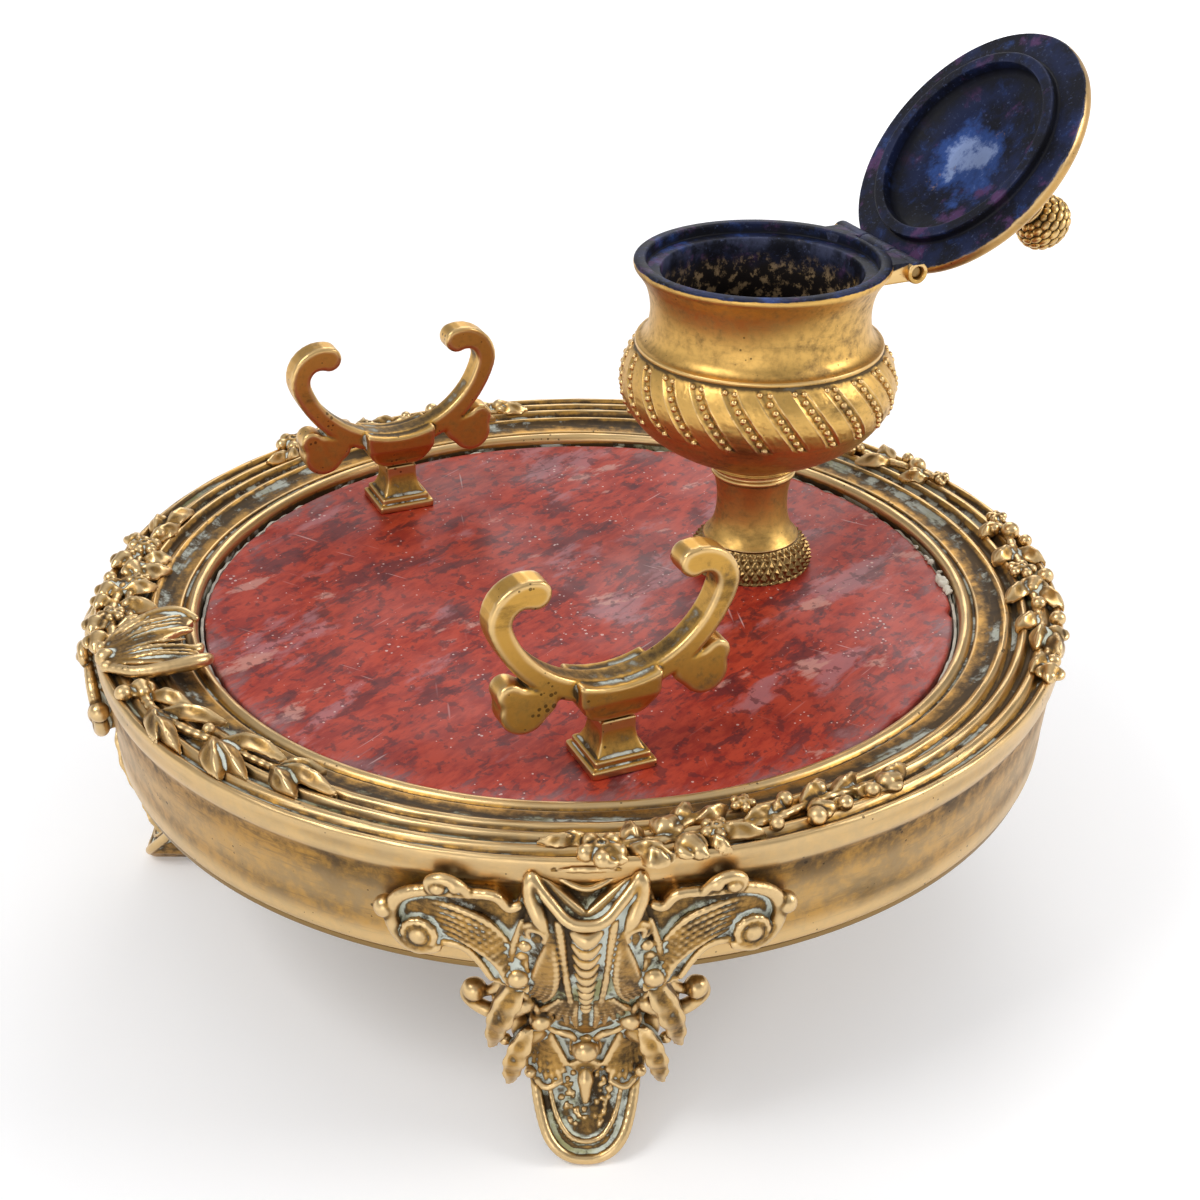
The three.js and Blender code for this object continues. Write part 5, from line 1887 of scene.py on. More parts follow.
# The bow: its blades as places, radius of the edge and rise, its web's outline, wrinkles and berries
BOW_BLADES = (
    (((-90.6, 94.6), (-87.4, 90.0), (-86.3, 84.0), (-86.4, 79.0), (-87.3, 76.9)), 1.15, 1.2),
    (((-95.4, 94.2), (-98.6, 90.0), (-101.2, 84.0), (-101.4, 79.5), (-99.6, 76.6)), 1.0, 0.8),
    (((-92.4, 92.4), (-92.0, 87.0), (-91.2, 82.0), (-90.6, 78.4), (-91.4, 77.2)), 0.9, 0.2),
    (((-94.2, 94.2), (-94.8, 88.0), (-95.6, 82.0), (-96.4, 78.0)), 0.75, 0.9),
)
BOW_WEB = (
    (-90.6, 94.6), (-86.9, 84.0), (-87.6, 77.6), (-89.4, 78.2), (-91.0, 82.0), (-92.4, 86.8),
    (-93.6, 83.0), (-95.6, 79.6), (-98.4, 77.0), (-101.0, 79.0), (-100.6, 84.0), (-95.4, 94.2),
)
BOW_WRINKLES = (0, 1, 2, 3, 5.6, 6.5, 7.5, 8.4)
BOW_BERRIES = ((-93.0, 94.6, 1.9), (-91.0, 94.9, 1.2), (-95.4, 94.6, 1.3))


@dataclass
class Garlands:
    """The sprays and the bow that are bedded on the rim's moulding.

    Args:
        tray: The tray that they lie on.
        step: The clay's spacing.
        lie: Height of the line that leaves and stalks follow.
        seam: The gap under a casting.
    """

    tray: Tray
    step: float = 0.3
    lie: float = 3.55
    seam: float = 0.07

    def at(self, azimuth: float, radius: float, height: float = 0.0) -> Array:
        """Give the place at an azimuth and a radius, so high over the line."""
        turn = math.radians(azimuth)
        return np.array([radius * math.cos(turn), radius * math.sin(turn), self.lie + height])

    def under(self) -> Form:
        """Give what the castings must stay clear of.

        Returns:
            The moulding and the wall of the rim, with the gap over them.
        """
        profile = self.tray.rim_profile()
        widest = int(np.argmax(profile[:, 0]))
        crest, wall = profile[:widest], profile[widest : len(profile) - 12][::-1]

        def distance(p: Array) -> Array:
            """Give about the distance to the moulding and the wall."""
            away = np.hypot(p[..., 0], p[..., 1])
            top = p[..., 2] - np.interp(away, crest[:, 0], crest[:, 1]) - self.seam
            side = away - np.interp(p[..., 2], wall[:, 1], wall[:, 0]) - self.seam
            return np.maximum(top, side)

        reach = self.tray.seat + 25.0
        return Form((-reach, -reach, -22.0), (reach, reach, 6.0), distance)

    def leaf(self, item: Sequence[float], number: int) -> Form:
        """Make a laurel leaf between two places, with a raised crease.

        Args:
            item: Its row in the sprig's table.
            number: Its number in the sprig, from which its lean comes.

        Returns:
            The leaf.
        """
        foot, tip = self.at(item[0], item[1], -0.3), self.at(item[2], item[3], -0.5)
        lean = 0.25 * math.sin(2.4 * number)
        up = UPWARD + lean * np.cross(UPWARD, tip - foot) / 9
        setting, length = Setting.between(foot, tip, up)
        arch = 0.16 * length**0.9
        cut = LeafCut(
            length, item[4], thick=1.05, arch=arch, cup=0.85, rib=0.55, belly=0.45, veins=3, vein_depth=0.2
        )
        return leaf_form(setting, cut)

    def bud(self, item: Sequence[float]) -> list[Form]:
        """Make a bud: an egg in two sepals.

        Args:
            item: Its row in the sprig's table.

        Returns:
            The forms.
        """
        place, size = self.at(item[0], item[1], 0.5), item[2]
        way = self.at(item[3], item[4], 0.3) - place
        way *= size / np.linalg.norm(way)
        side = np.cross(way, UPWARD)
        forms = tube_forms(np.array([place - 0.3 * way, place + 0.55 * way]), [size * 0.86, size * 0.62])
        forms += tube_forms(np.array([place, place + 1.15 * way]), [size * 0.5, size * 0.25])
        for across in (-1, 1):
            start, end = place - 0.9 * way, place + 0.5 * way + across * 0.75 * side
            middle = (start + end) / 2 + across * 0.45 * side
            forms += tube_forms(flowing([start, middle, end], 4), [0.35 * size, 0.42 * size, 0.2 * size])
        return forms

    def bloom(self, azimuth: float, radius: float, size: float) -> tuple[list[Form], Form, Form]:
        """Make an open flower of five petals.

        Args:
            azimuth: Azimuth of its middle.
            radius: Radius of its middle from the marble's.
            size: How wide it is.

        Returns:
            The petals, the button in their middle, and the pit in the button.
        """
        middle, petals = self.at(azimuth, radius, 0.9), []
        for petal in range(5):
            turn = math.radians(azimuth + 72 * petal)
            way = np.array([math.cos(turn), math.sin(turn), 0.0])
            line = np.array([middle + way * 0.35 * size, middle + way * 0.62 * size - 0.1 * UPWARD])
            petals += tube_forms(line, [0.3 * size, 0.36 * size])
        button = middle + 0.35 * UPWARD
        return petals, round_form(button, 0.36 * size), round_form(button + 0.36 * size * UPWARD, 0.2 * size)

    def build_sprig(self, sprig: Sprig) -> None:
        """Model one garland in clay and make it.

        Args:
            sprig: The garland.
        """
        places = [p for line in sprig.stalks for p in line]
        places += [leaf[2 * i : 2 * i + 2] for leaf in sprig.leaves for i in (0, 1)]
        places += [item[:2] for item in (*sprig.buds, *sprig.blooms, *sprig.berries)]
        spots = np.array([self.at(a, min(r, 96.8)) for a, r in places])
        low, high = spots.min(0) - 3.6, spots.max(0) + 3.6
        clay = Clay([low[0], low[1], 0.0], [high[0], high[1], 8.5], self.step)
        for line in sprig.stalks:
            path = flowing([self.at(a, r, -0.1) for a, r in line], 4)
            clay.add(*tube_forms(path, [1.0, 0.85, 0.6]), blend=0.5)
        for number, item in enumerate(sprig.leaves):
            clay.add(self.leaf(item, number), blend=0.3)
        for item in sprig.buds:
            clay.add(*self.bud(item), blend=0.3)
        pits = []
        for item in sprig.blooms:
            petals, button, pit = self.bloom(*item)
            clay.add(*petals, blend=0.15).add(button)
            pits.append(pit)
        for azimuth, radius, size in sprig.berries:
            clay.add(round_form(self.at(azimuth, radius, 0.2 + size / 3), size), blend=0.2)
        clay.cut(*pits).cut(self.under(), blend=0.05)
        make_piece(sprig.node + "_casting", clay.skin(), Finishes.CAST_GILT, "stand", [sprig.node])

    def bow_web(self) -> Form:
        """Give the thin web that joins the bow's blades.

        Returns:
            The web.
        """
        outline = np.array([self.at(a, r)[:2] for a, r in BOW_WEB])

        def sheet(p: Array) -> Array:
            """Give about the distance to it."""
            away = np.hypot(p[..., 0], p[..., 1])
            rise = self.lie + 0.75 + 1.1 * np.sin(np.clip((96 - away) / 20, 0, 1) * math.pi)
            return np.maximum(outline_distance(outline, p[..., 0], p[..., 1]), np.abs(p[..., 2] - rise) - 0.7)

        return Form((-21, -97, 2.0), (8, -74, 8.0), sheet)

    def build_bow(self) -> None:
        """Model the bow: blades with rolled edges that fan out towards the marble, wrinkled between."""
        clay = Clay([-22.5, -99.0, 0.0], [9.5, -72.5, 9.0], self.step)
        clay.add(self.bow_web())
        for line, edge, rise in BOW_BLADES:
            path = flowing([(*self.at(a, r)[:2], self.lie + 0.9) for a, r in line], 5)
            path[:, 2] += rise * np.sin(np.linspace(0, 1, len(path)) * math.pi * 0.9)
            clay.add(*tube_forms(path, [0.8, edge, edge * 1.15, edge * 0.8]), blend=0.5)
        for number in BOW_WRINKLES:
            share = (number + 0.5) / 9 + 0.02 * math.sin(5 * number)
            first, last = -90.9 - 4.2 * share, -87.8 - 12.4 * share
            places = (
                self.at(first, 93.0, 1.5), self.at(0.45 * first + 0.55 * last, 86.5, 2.75),
                self.at(last, 79.6, 2.1),
            )
            wide = 0.45 + 0.18 * math.sin(3 * number + 1)
            clay.add(*tube_forms(flowing(places, 5), [0.3, wide, 0.25]), blend=0.25)
        for azimuth, radius, size in BOW_BERRIES:
            clay.add(round_form(self.at(azimuth, radius, 0.9), size), blend=0.3)
        clay.cut(self.under(), blend=0.05)
        make_piece("bow_casting", clay.skin(), Finishes.CAST_GILT, "stand", ["bow_mount"])

    def build(self) -> None:
        """Make every mount on the rim."""
        for sprig in (
            FLOWER_SPRAY, LAUREL_SPRAY, LEG_GARLAND, LEG_GARLAND.mirrored("leg_garland_left", 90),
            BACK_GARLAND, BACK_GARLAND.mirrored("back_garland_left", 90),
        ):
            self.build_sprig(sprig)
        self.build_bow()


# The feet


def both_sides(half: Sequence[Sequence[float]], middle: Sequence[float]) -> list[Sequence[float]]:
    """Mirror half a line, in rows of y, z and how far out, to the other side of its middle place."""
    return [(-y, z, out) for y, z, out in half] + [middle, *half[::-1]]


@dataclass
class Feet:
    """Three cast feet with a fluted shell front, wings on the drum, balls, and a bevelled toe.

    A foot is modelled along +X, with y across it and z up, then turned to its azimuth.

    Args:
        tray: The tray that they carry.
        angles: Azimuths of the feet.
        step: The clay's spacing.
        sole: Height of the sole.
        bend: Radius along which places on the drum's wall are measured.
        front_line: Radius and height down the middle of the front.
        half_line: Half the width and the height, down the leg.
        back_line: Radius and height down the back.
        wall_line: Radius and height of the drum's wall.
        lip: Half the lip's line and its middle, as rows of y, z and how far out.
        shoulder: The line beside the lip.
        pocket_folds: Half a fold's line in the hollow, its middle, and its radius.
        flank_line: The line beside the spine and its radii.
        edge_balls: Place and radius of the small balls on each edge.
        borders: The border lines and their radii.
        ball_places: Place and radius of the large balls.
        toe_edge: Half the toe's rim.
        fan: Where the flutes of the curl below end.
        fan_edge: The curl's edge and its radii.
        flank_leaves: Foot, tip, width and arch of the leaves on the flank.
        arms: Ball, line and radii of the arms on the flank.
        web: Outline of the wing, along the wall and in height.
        web_edges: The wing's rolled edges and their radii.
        crest: The curl on the wing's upper edge and its radii.
    """

    tray: Tray
    angles: tuple[float, ...] = (-22.9, -114.6, 111.2)
    step: float = 0.32
    sole: float = -63.75
    bend: float = 96.0
    front_line: tuple = (
        (93.6, -64.5), (93.7, -63.0), (93.5, -61.6), (92.4, -59.4), (88.4, -54.4), (85.9, -48.4),
        (86.3, -42.0), (89.6, -34.4), (94.6, -24.2), (98.4, -12.8), (99.9, -7.0), (99.6, -5.4),
        (98.0, -2.0), (96.9, 0.8), (96.9, 4.0),
    )
    half_line: tuple = (
        (3.0, -64.5), (4.6, -62.9), (6.7, -60.6), (8.1, -57.0), (9.0, -52.5), (9.2, -47.5), (9.5, -42.0),
        (10.2, -35.0), (11.2, -28.5), (12.0, -22.5), (11.6, -16.0), (10.6, -9.0), (9.6, -4.0), (9.2, 0.5),
        (9.0, 4.0),
    )
    back_line: tuple = (
        (83.4, -64.5), (82.4, -63.75), (79.2, -59.0), (78.7, -48.5), (79.0, -38.3), (80.0, -29.5),
        (81.5, -22.3), (81.5, 4.0),
    )
    wall_line: tuple = ((93.8, -20), (94.35, -11.5), (95.15, -3), (96.1, 0.3), (96.1, 4))
    lip: tuple = (
        (8.7, 0.4, 0.3), (7.8, -0.8, 0.4), (5.4, -3.2, 0.6), (3.6, -4.9, 0.7), (1.9, -5.8, 0.7),
        (0, -6.0, 0.7),
    )
    shoulder: tuple = ((8.9, -0.4, 0.3), (8.6, -3.0, 0.2), (7.4, -6.0, 0.1), (6.2, -9.0, 0.2))
    pocket_folds: tuple = (
        (((8.6, 1.6, -0.6),), (0, 2.0, -0.8), 0.7),
        (((4.8, 0.2, -1.4), (2.2, -1.0, -1.2)), (0, -1.5, -1.1), 0.5),
    )
    flank_line: tuple = (
        ((4.4, -6.2, 0.1), (4.0, -11.0, 0.2), (3.6, -17, 0.2), (2.8, -25, 0.2), (1.9, -32, 0.1)),
        (0.8, 0.7, 0.6, 0.4),
    )
    edge_balls: tuple = ((9.9, -13.2, 1.25), (10.6, -15.8, 1.15), (10.9, -18.3, 1.0))
    borders: tuple = (
        (((10.4, -7.4, 0.1), (11.0, -10.0, 0.6), (11.9, -14.0, 0.9), (12.2, -17.0, 1.0), (11.8, -19.4, 0.9)),
         (0.4, 0.65, 0.65)),
        (((11.6, -22.6, 0.9), (10.2, -27.5, 0.9), (8.4, -31.6, 0.8), (7.6, -34.5, 0.8)), (0.7, 0.6)),
        (((7.4, -36.4, 0.6), (5.4, -38.4, 0.6), (3.0, -39.0, 0.6), (1.6, -40.6, 0.6)), (0.65, 0.6)),
    )
    ball_places: tuple = ((11.2, -20.8, 1.6, 2.05), (7.7, -35.0, 1.3, 2.05), (0, -42.6, 1.5, 2.4))
    toe_edge: tuple = (
        (9.0, -46.0, -0.3), (8.9, -50.0, 0.1), (8.3, -54.4, 0.1), (7.0, -58.2, 0.1), (5.2, -60.6, 0.1),
        (2.8, -62.2, -0.1),
    )
    fan: tuple = ((10.0, -41.8), (10.2, -45.6), (9.0, -49.0), (6.8, -50.9), (4.6, -49.8), (3.5, -46.8))
    fan_edge: tuple = (
        ((9.6, -37.0, 0.3), (10.9, -42.6, 0.5), (10.4, -47.6, 1.0), (7.4, -51.2, 1.5), (4.4, -50.2, 1.3)),
        (0.5, 0.7, 0.5),
    )
    flank_leaves: tuple = (
        ((93.5, 11.0, -22.0), (87.6, 13.6, -40.5), 6.4, 1.6),
        ((90.0, 10.0, -36.0), (85.4, 9.4, -50.0), 5.0, 1.1),
        ((88.0, 11.0, -24.0), (83.0, 12.8, -38.0), 6.4, 1.2),
    )
    arms: tuple = (
        ((87.2, 18.9, -29.4, 2.1),
         ((90.5, 10.5, -30.0), (88.5, 14.0, -33.6), (87.2, 17.6, -33.4), (86.8, 20.2, -31.0),
          (86.9, 19.8, -28.6)),
         (1.7, 1.3, 1.2, 1.0)),
        ((), ((90.0, 11.0, -25.6), (88.2, 14.6, -28.0), (87.0, 17.2, -30.4)), (1.4, 1.0, 0.7)),
    )
    web: tuple = (
        (9.5, 0.0), (11.5, -5.6), (14.4, -2.4), (20, -2.8), (26, -3.0), (30.6, -5.4), (32.4, -10.0),
        (31.0, -14.0), (27.0, -15.6), (23.2, -14.6), (20.0, -15.4), (17.8, -18.4), (15.6, -22.6),
        (9.5, -24.0),
    )
    web_edges: tuple = (
        (((10.6, -4.6, 2.4), (12.4, -5.0, 2.5), (14.6, -2.7, 2.5), (20, -2.9, 2.4), (26, -3.4, 2.4),
          (30.4, -5.6, 2.4), (32.2, -9.6, 2.3), (31.0, -13.4, 2.4), (28.0, -15.4, 2.8), (24.6, -14.8, 3.0)),
         (0.7, 0.8, 0.9, 1.2, 1.4, 1.1)),
        (((24.2, -13.8, 2.2), (20.4, -14.6, 2.1), (17.8, -17.6, 2.0), (15.8, -21.4, 1.8)), (0.9, 0.6, 0.5)),
    )
    crest: tuple = (
        ((18.6, -2.6, 2.6), (20.4, -0.8, 2.5), (22.8, 0.0, 2.4), (24.8, -1.0, 2.6), (24.4, -2.6, 3.0)),
        (0.7, 0.95, 0.95, 0.8),
    )

    def line(self, points: tuple, height: Array | float) -> Array:
        """Read one of the lines at a height."""
        rows = np.array(points)
        return np.interp(height, rows[:, 1], rows[:, 0])

    def front(self, y: Array | float, z: Array | float) -> Array:
        """Give how far out the leg's plain front is."""
        share = np.minimum(np.abs(y) / self.line(self.half_line, z), 1.3)
        fall = np.interp(z, [-56, -44, -10, 0], [0.5, 3.4, 3.2, 1.6])
        return self.line(self.front_line, z) - fall * share**2

    def on(self, y: float, z: float, out: float = 0.0) -> Array:
        """Give a place on the leg's front."""
        return np.array([float(self.front(y, z)) + out, y, z])

    def on_wall(self, y: float, z: float, out: float = 0.0) -> Array:
        """Give a place on the drum's wall beside the leg.

        Args:
            y: How far it is from the leg's middle, along the wall.
            z: Its height.
            out: How far it is off the wall.

        Returns:
            The place.
        """
        turn, radius = y / self.bend, self.line(self.wall_line, z) + out
        return np.array([radius * math.cos(turn), radius * math.sin(turn), z])

    def ridge(
        self, points: Sequence[Sequence[float]], radii: Sequence[float], side: int = 1, wall: bool = False
    ) -> list[Form]:
        """Give a raised line over the leg or the wall.

        Args:
            points: Rows of y, z and how far out.
            radii: Its radius along the way.
            side: 1 for the right, -1 for the left.
            wall: Whether it lies on the wall.

        Returns:
            The forms.
        """
        place = self.on_wall if wall else self.on
        path = flowing([place(side * y, z, out) for y, z, out in points], 4)
        return tube_forms(path, radii)

    def ridges(self, table: Sequence[tuple], side: int, wall: bool = False) -> list[Form]:
        """Give the raised lines of a table, each with its points and its radii."""
        return [form for points, radii in table for form in self.ridge(points, radii, side, wall)]

    def body(self) -> Form:
        """Give the plain leg.

        Returns:
            The leg.
        """

        def distance(p: Array) -> Array:
            """Give about the distance to it."""
            x, y, z = p[..., 0], p[..., 1], p[..., 2]
            sides = [
                0.85 * (x - self.front(y, z)), self.line(self.back_line, z) - x,
                np.abs(y) - self.line(self.half_line, z), z - 1.0, self.sole - z,
            ]
            return furthest(sides, 1.2)

        return Form((76.0, -13.5, -64.2), (102.5, 13.5, 2.5), distance)

    def scallop(self, k: int) -> list[Form]:
        """Give one crescent of the spine, which are counted from the top."""
        z, half, tall = -8.8 - 2.95 * k + 0.07 * k * k, 2.7 - 0.19 * k, 1.75 - 0.11 * k
        points = both_sides([(half - 0.5 * tall, z + 0.7, -0.1)], (0, z - 0.3, 0.3))
        return self.ridge(points, [0.55 * tall, tall, 0.55 * tall])

    def flutes(self, side: int) -> list[Form]:
        """Give the flutes of one half of the shell and the feather strokes below them.

        Args:
            side: 1 for the right, -1 for the left.

        Returns:
            The forms.
        """
        forms = []
        for s in np.linspace(0, 1, 5):
            forms += self.ridge(
                [
                    (5.3 + 0.9 * s, -8.2 - 3.2 * s, 0.2), (5.1 + 2.4 * s, -14.0 - 2.2 * s, 0.5),
                    (5.0 + 3.5 * s, -19.6 - 0.8 * s, 0.7), (5.6 + 4.2 * s, -24.6 + 0.4 * s, 0.6),
                    (7.2 + 3.3 * s, -28.8 + 2.2 * s, 0.4),
                ],
                [0.4, 0.66, 0.74, 0.6, 0.35], side,
            )
        for k in range(5):
            stroke = [
                (1.5 + 0.75 * k, -27.0 - 0.1 * k, 0.2), (2.0 + 1.15 * k, -31.4 + 0.2 * k, 0.5),
                (1.6 + 1.6 * k, -36.4 + 0.9 * k, 0.4),
            ]
            forms += self.ridge(stroke, [0.4, 0.68, 0.4], side)
        return forms

    def curls(self, side: int) -> list[Form]:
        """Give the two curls beside the lip.

        Args:
            side: 1 for the right, -1 for the left.

        Returns:
            The forms.
        """
        turns = np.linspace(-0.6, 3.9, 8)
        rings = [
            [(8.0 + wide * math.cos(a), -9.6 + tall * math.sin(a), out) for a in turns]
            for wide, tall, out in ((2.2, 2.5, 0.4), (1.45, 1.7, 0.75))
        ]
        return self.ridges([(ring, (0.35, 0.5, 0.35)) for ring in rings], side)

    def shell_front(self) -> list[Form]:
        """Give the lip, the spine, the flutes and the border lines.

        Returns:
            The forms.
        """
        forms = self.ridge(both_sides(self.lip[:-1], self.lip[-1]), [1.15, 0.85, 0.95, 0.85, 1.15])
        for side in (-1, 1):
            forms += self.ridge(self.shoulder, [1.4, 1.5, 1.3, 0.8], side)
        for half, middle, radius in self.pocket_folds:
            forms += self.ridge(both_sides(half, middle), [radius])
        for number in range(10):
            forms += self.scallop(number)
        for side in (-1, 1):
            forms += self.ridges([self.flank_line], side)
            forms += self.flutes(side)
            for y, z, size in self.edge_balls:
                forms.append(round_form(self.on(side * y, z, 0.0), size))
            forms += self.curls(side)
            forms += self.ridges(self.borders, side)
        return forms

    def balls(self) -> list[Form]:
        """Give the balls and the rings that they sit in.

        Returns:
            The forms.
        """
        forms = []
        for y, z, out, size in self.ball_places:
            for side in (-1, 1) if y else (1,):
                forms.append(round_form(self.on(side * y, z, out), size))
                ring = [
                    self.on(side * y + 1.05 * size * math.cos(a), z + 1.1 * size * math.sin(a), out - 0.9)
                    for a in np.linspace(0, 2 * math.pi, 10)
                ]
                forms += tube_forms(np.array(ring), [0.45])
        return forms + [round_form(self.on_wall(side * 33.2, -8.6, 2.2), 2.0) for side in (-1, 1)]

    def toe(self) -> tuple[list[Form], list[Form]]:
        """Model the oval toe: two rims with a groove between, a husk and a stippled ground.

        Returns:
            What is added and what is cut.
        """
        added = self.ridge(both_sides(self.toe_edge, (0, -62.6, -0.1)), [0.95])
        inner = [(6.3, -48.5, 0.1), (6.2, -52.4, 0.2), (5.1, -56.0, 0.2), (3.0, -58.6, 0.2)]
        added += self.ridge(both_sides(inner, (0, -59.4, 0.2)), [0.42])
        added += self.ridge([(0, -47.6, 0.6), (0, -50.0, 0.7), (0, -53.6, 0.5)], [0.7, 1.45, 0.7])
        for number in range(7):
            lean = math.radians(-75 + 25 * number)
            reach = (2.6 * math.sin(lean), -46.6 - 2.0 * math.cos(lean) * 0.9, 0.7)
            added += self.ridge([(0.4 * math.sin(lean), -45.4, 0.9), reach], [0.3, 0.55])
        chance = np.random.default_rng(4)
        for y, z in chance.uniform((-5.2, -57.4), (5.2, -47.4), (150, 2)):
            if abs(y) < np.interp(z, [-58, -54, -50], [2.4, 4.4, 5.3]) and (abs(y) > 2.0 or z < -55):
                added.append(round_form(self.on(y, z, 0.05), chance.uniform(0.28, 0.45)))
        groove = [(7.5, -48.0, 0.4), (7.3, -52.8, 0.4), (6.0, -57.2, 0.4), (3.6, -60.2, 0.4)]
        cut = self.ridge(both_sides(groove, (0, -61.0, 0.4)), [0.55])
        return added, cut

    def shells(self, side: int) -> list[Form]:
        """Give the fluted curls under the balls, and the leaves and arms on the leg's flank.

        Args:
            side: 1 for the right, -1 for the left.

        Returns:
            The forms.
        """
        forms, mirror = [], np.array([1, side, 1])
        for y, z in flowing(self.fan, 2):
            stroke = [(6.6, -38.2, 0.3), (0.55 * y + 3.2, 0.5 * z - 19.6, 0.8), (y, z, 0.9)]
            forms += self.ridge(stroke, [0.4, 0.62, 0.66], side)
        forms += self.ridges([self.fan_edge], side)
        for foot, tip, width, arch in self.flank_leaves:
            setting, length = Setting.between(foot * mirror, tip * mirror, (0.55, 0.83, 0.1) * mirror)
            cut = LeafCut(
                length, width, thick=1.4, arch=arch, cup=0.9, rib=0.7, veins=4, vein_depth=0.3, lobes=0.16,
                belly=0.38,
            )
            forms += [leaf_form(setting, cut), round_form((tip + np.array([0.6, 0.3, 0.8])) * mirror, 1.1)]
        forms.append(round_form((86.0, 9.6, -38.5) * mirror, 3.4))
        for place, arm, radii in self.arms:
            forms += tube_forms(flowing(arm * mirror, 4), radii)
            forms += [round_form(place[:3] * mirror, place[3])] if len(place) else []
        return forms

    def volute(self, side: int) -> list[Form]:
        """Give the disc of the wing's volute and the ring round it.

        Args:
            side: 1 for the right, -1 for the left.

        Returns:
            The forms.
        """
        disc = self.on_wall(side * 27.2, -12.4, 3.6)
        out = disc * [1, 1, 0] / np.linalg.norm(disc[:2])
        forms = tube_forms(np.array([disc - 2.2 * out, disc - 1.5 * out]), [2.6])
        across = np.cross(UPWARD, out)
        ring = [
            disc + 2.5 * math.cos(a) * across + 2.4 * math.sin(a) * UPWARD - 0.4 * out
            for a in np.linspace(0, 2 * math.pi, 13)
        ]
        return forms + tube_forms(np.array(ring), [0.75])

    def wing(self, side: int) -> list[Form]:
        """Give the veined wing on the drum's wall, with its rolled edge and volute.

        Args:
            side: 1 for the right, -1 for the left.

        Returns:
            The forms.
        """

        def sheet(p: Array) -> Array:
            """Give about the distance to the wing's body."""
            along = side * np.arctan2(p[..., 1], p[..., 0]) * self.bend
            face = self.line(self.wall_line, p[..., 2]) + 1.9 + 0.5 * np.sin(along / 3.1)
            web = outline_distance(np.array(self.web), along, p[..., 2])
            return np.maximum(web, np.hypot(p[..., 0], p[..., 1]) - face)

        near, far = sorted((side * 8.0, side * 34.0))
        forms = [Form((86.0, near, -25.0), (101.0, far, 1.0), sheet)]
        forms += self.ridges(self.web_edges, side, True)
        for s in np.linspace(0, 1, 6):
            vein = [
                (25.4 - 2.2 * s, -5.6 - 6.4 * s, 2.0), (20.4 - 1.4 * s, -6.4 - 7.2 * s, 2.4),
                (15.8 - 0.8 * s, -8.8 - 8.4 * s, 2.3), (12.4 + 0.6 * s, -13.6 - 8.6 * s, 1.8),
            ]
            forms += self.ridge(vein, [0.4, 0.62, 0.62, 0.4], side, True)
        forms += self.volute(side)
        forms += self.ridges([self.crest], side, True)
        for y, z, out, radius in ((23.4, -1.6, 3.0, 1.3), (20.6, -1.2, 2.8, 1.1)):
            forms.append(round_form(self.on_wall(side * y, z, out), radius))
        return forms

    def pocket(self) -> Form:
        """Give the hollow inside the lip.

        Returns:
            The hollow.
        """

        def distance(p: Array) -> Array:
            """Give about the distance to it."""
            x, y, z = p[..., 0], p[..., 1], p[..., 2]
            sill = -4.4 + 0.72 * np.abs(y)
            back = self.front(y, z) - np.clip(1.2 + 0.45 * (z + 6), 0.4, 3.0)
            return np.maximum(0.7 * (sill - z), back - x)

        return Form((95.5, -8.5, -6.5), (103.0, 8.5, 3.0), distance)

    def casting(self) -> Skin:
        """Model one foot in clay, at an azimuth of 0.

        Returns:
            The foot.
        """
        clay = Clay([77.5, -36.0, -64.4], [103.5, 36.0, 3.0], self.step)
        clay.add(self.body()).cut(self.pocket(), blend=0.4)
        added, cut = self.toe()
        clay.cut(*cut, blend=0.3).add(*added, blend=0.25)
        for side in (-1, 1):
            clay.add(*self.wing(side), *self.shells(side), blend=0.35)
        clay.add(*self.shell_front(), blend=0.3).add(*self.balls(), blend=0.15)
        clay.cut(Garlands(self.tray).under(), self.below_drum(), blend=0.05)
        return clay.skin()

    def below_drum(self) -> Form:
        """Give the base plate and the room above it, which the leg stays clear of.

        Returns:
            The form to cut away.
        """

        def distance(p: Array) -> Array:
            """Give about the distance to it."""
            away = np.hypot(p[..., 0], p[..., 1])
            return np.maximum(away - 93.5, -21.8 - p[..., 2])

        return Form((60.0, -40.0, -21.8), (94.0, 40.0, 4.0), distance)

    def build(self) -> None:
        """Make the three feet and dress their screws."""
        made = self.casting()
        for number, azimuth in enumerate(self.angles, 1):
            name, turned = f"foot_{number}", made.moved(about_z(azimuth))
            make_piece(name + "_casting", turned, Finishes.CAST_GILT, "stand", [name])
            for screw in (1, 2):
                dress_node(f"foot_{number}_screw_{screw}", Finishes.IRON)


# The pen rests


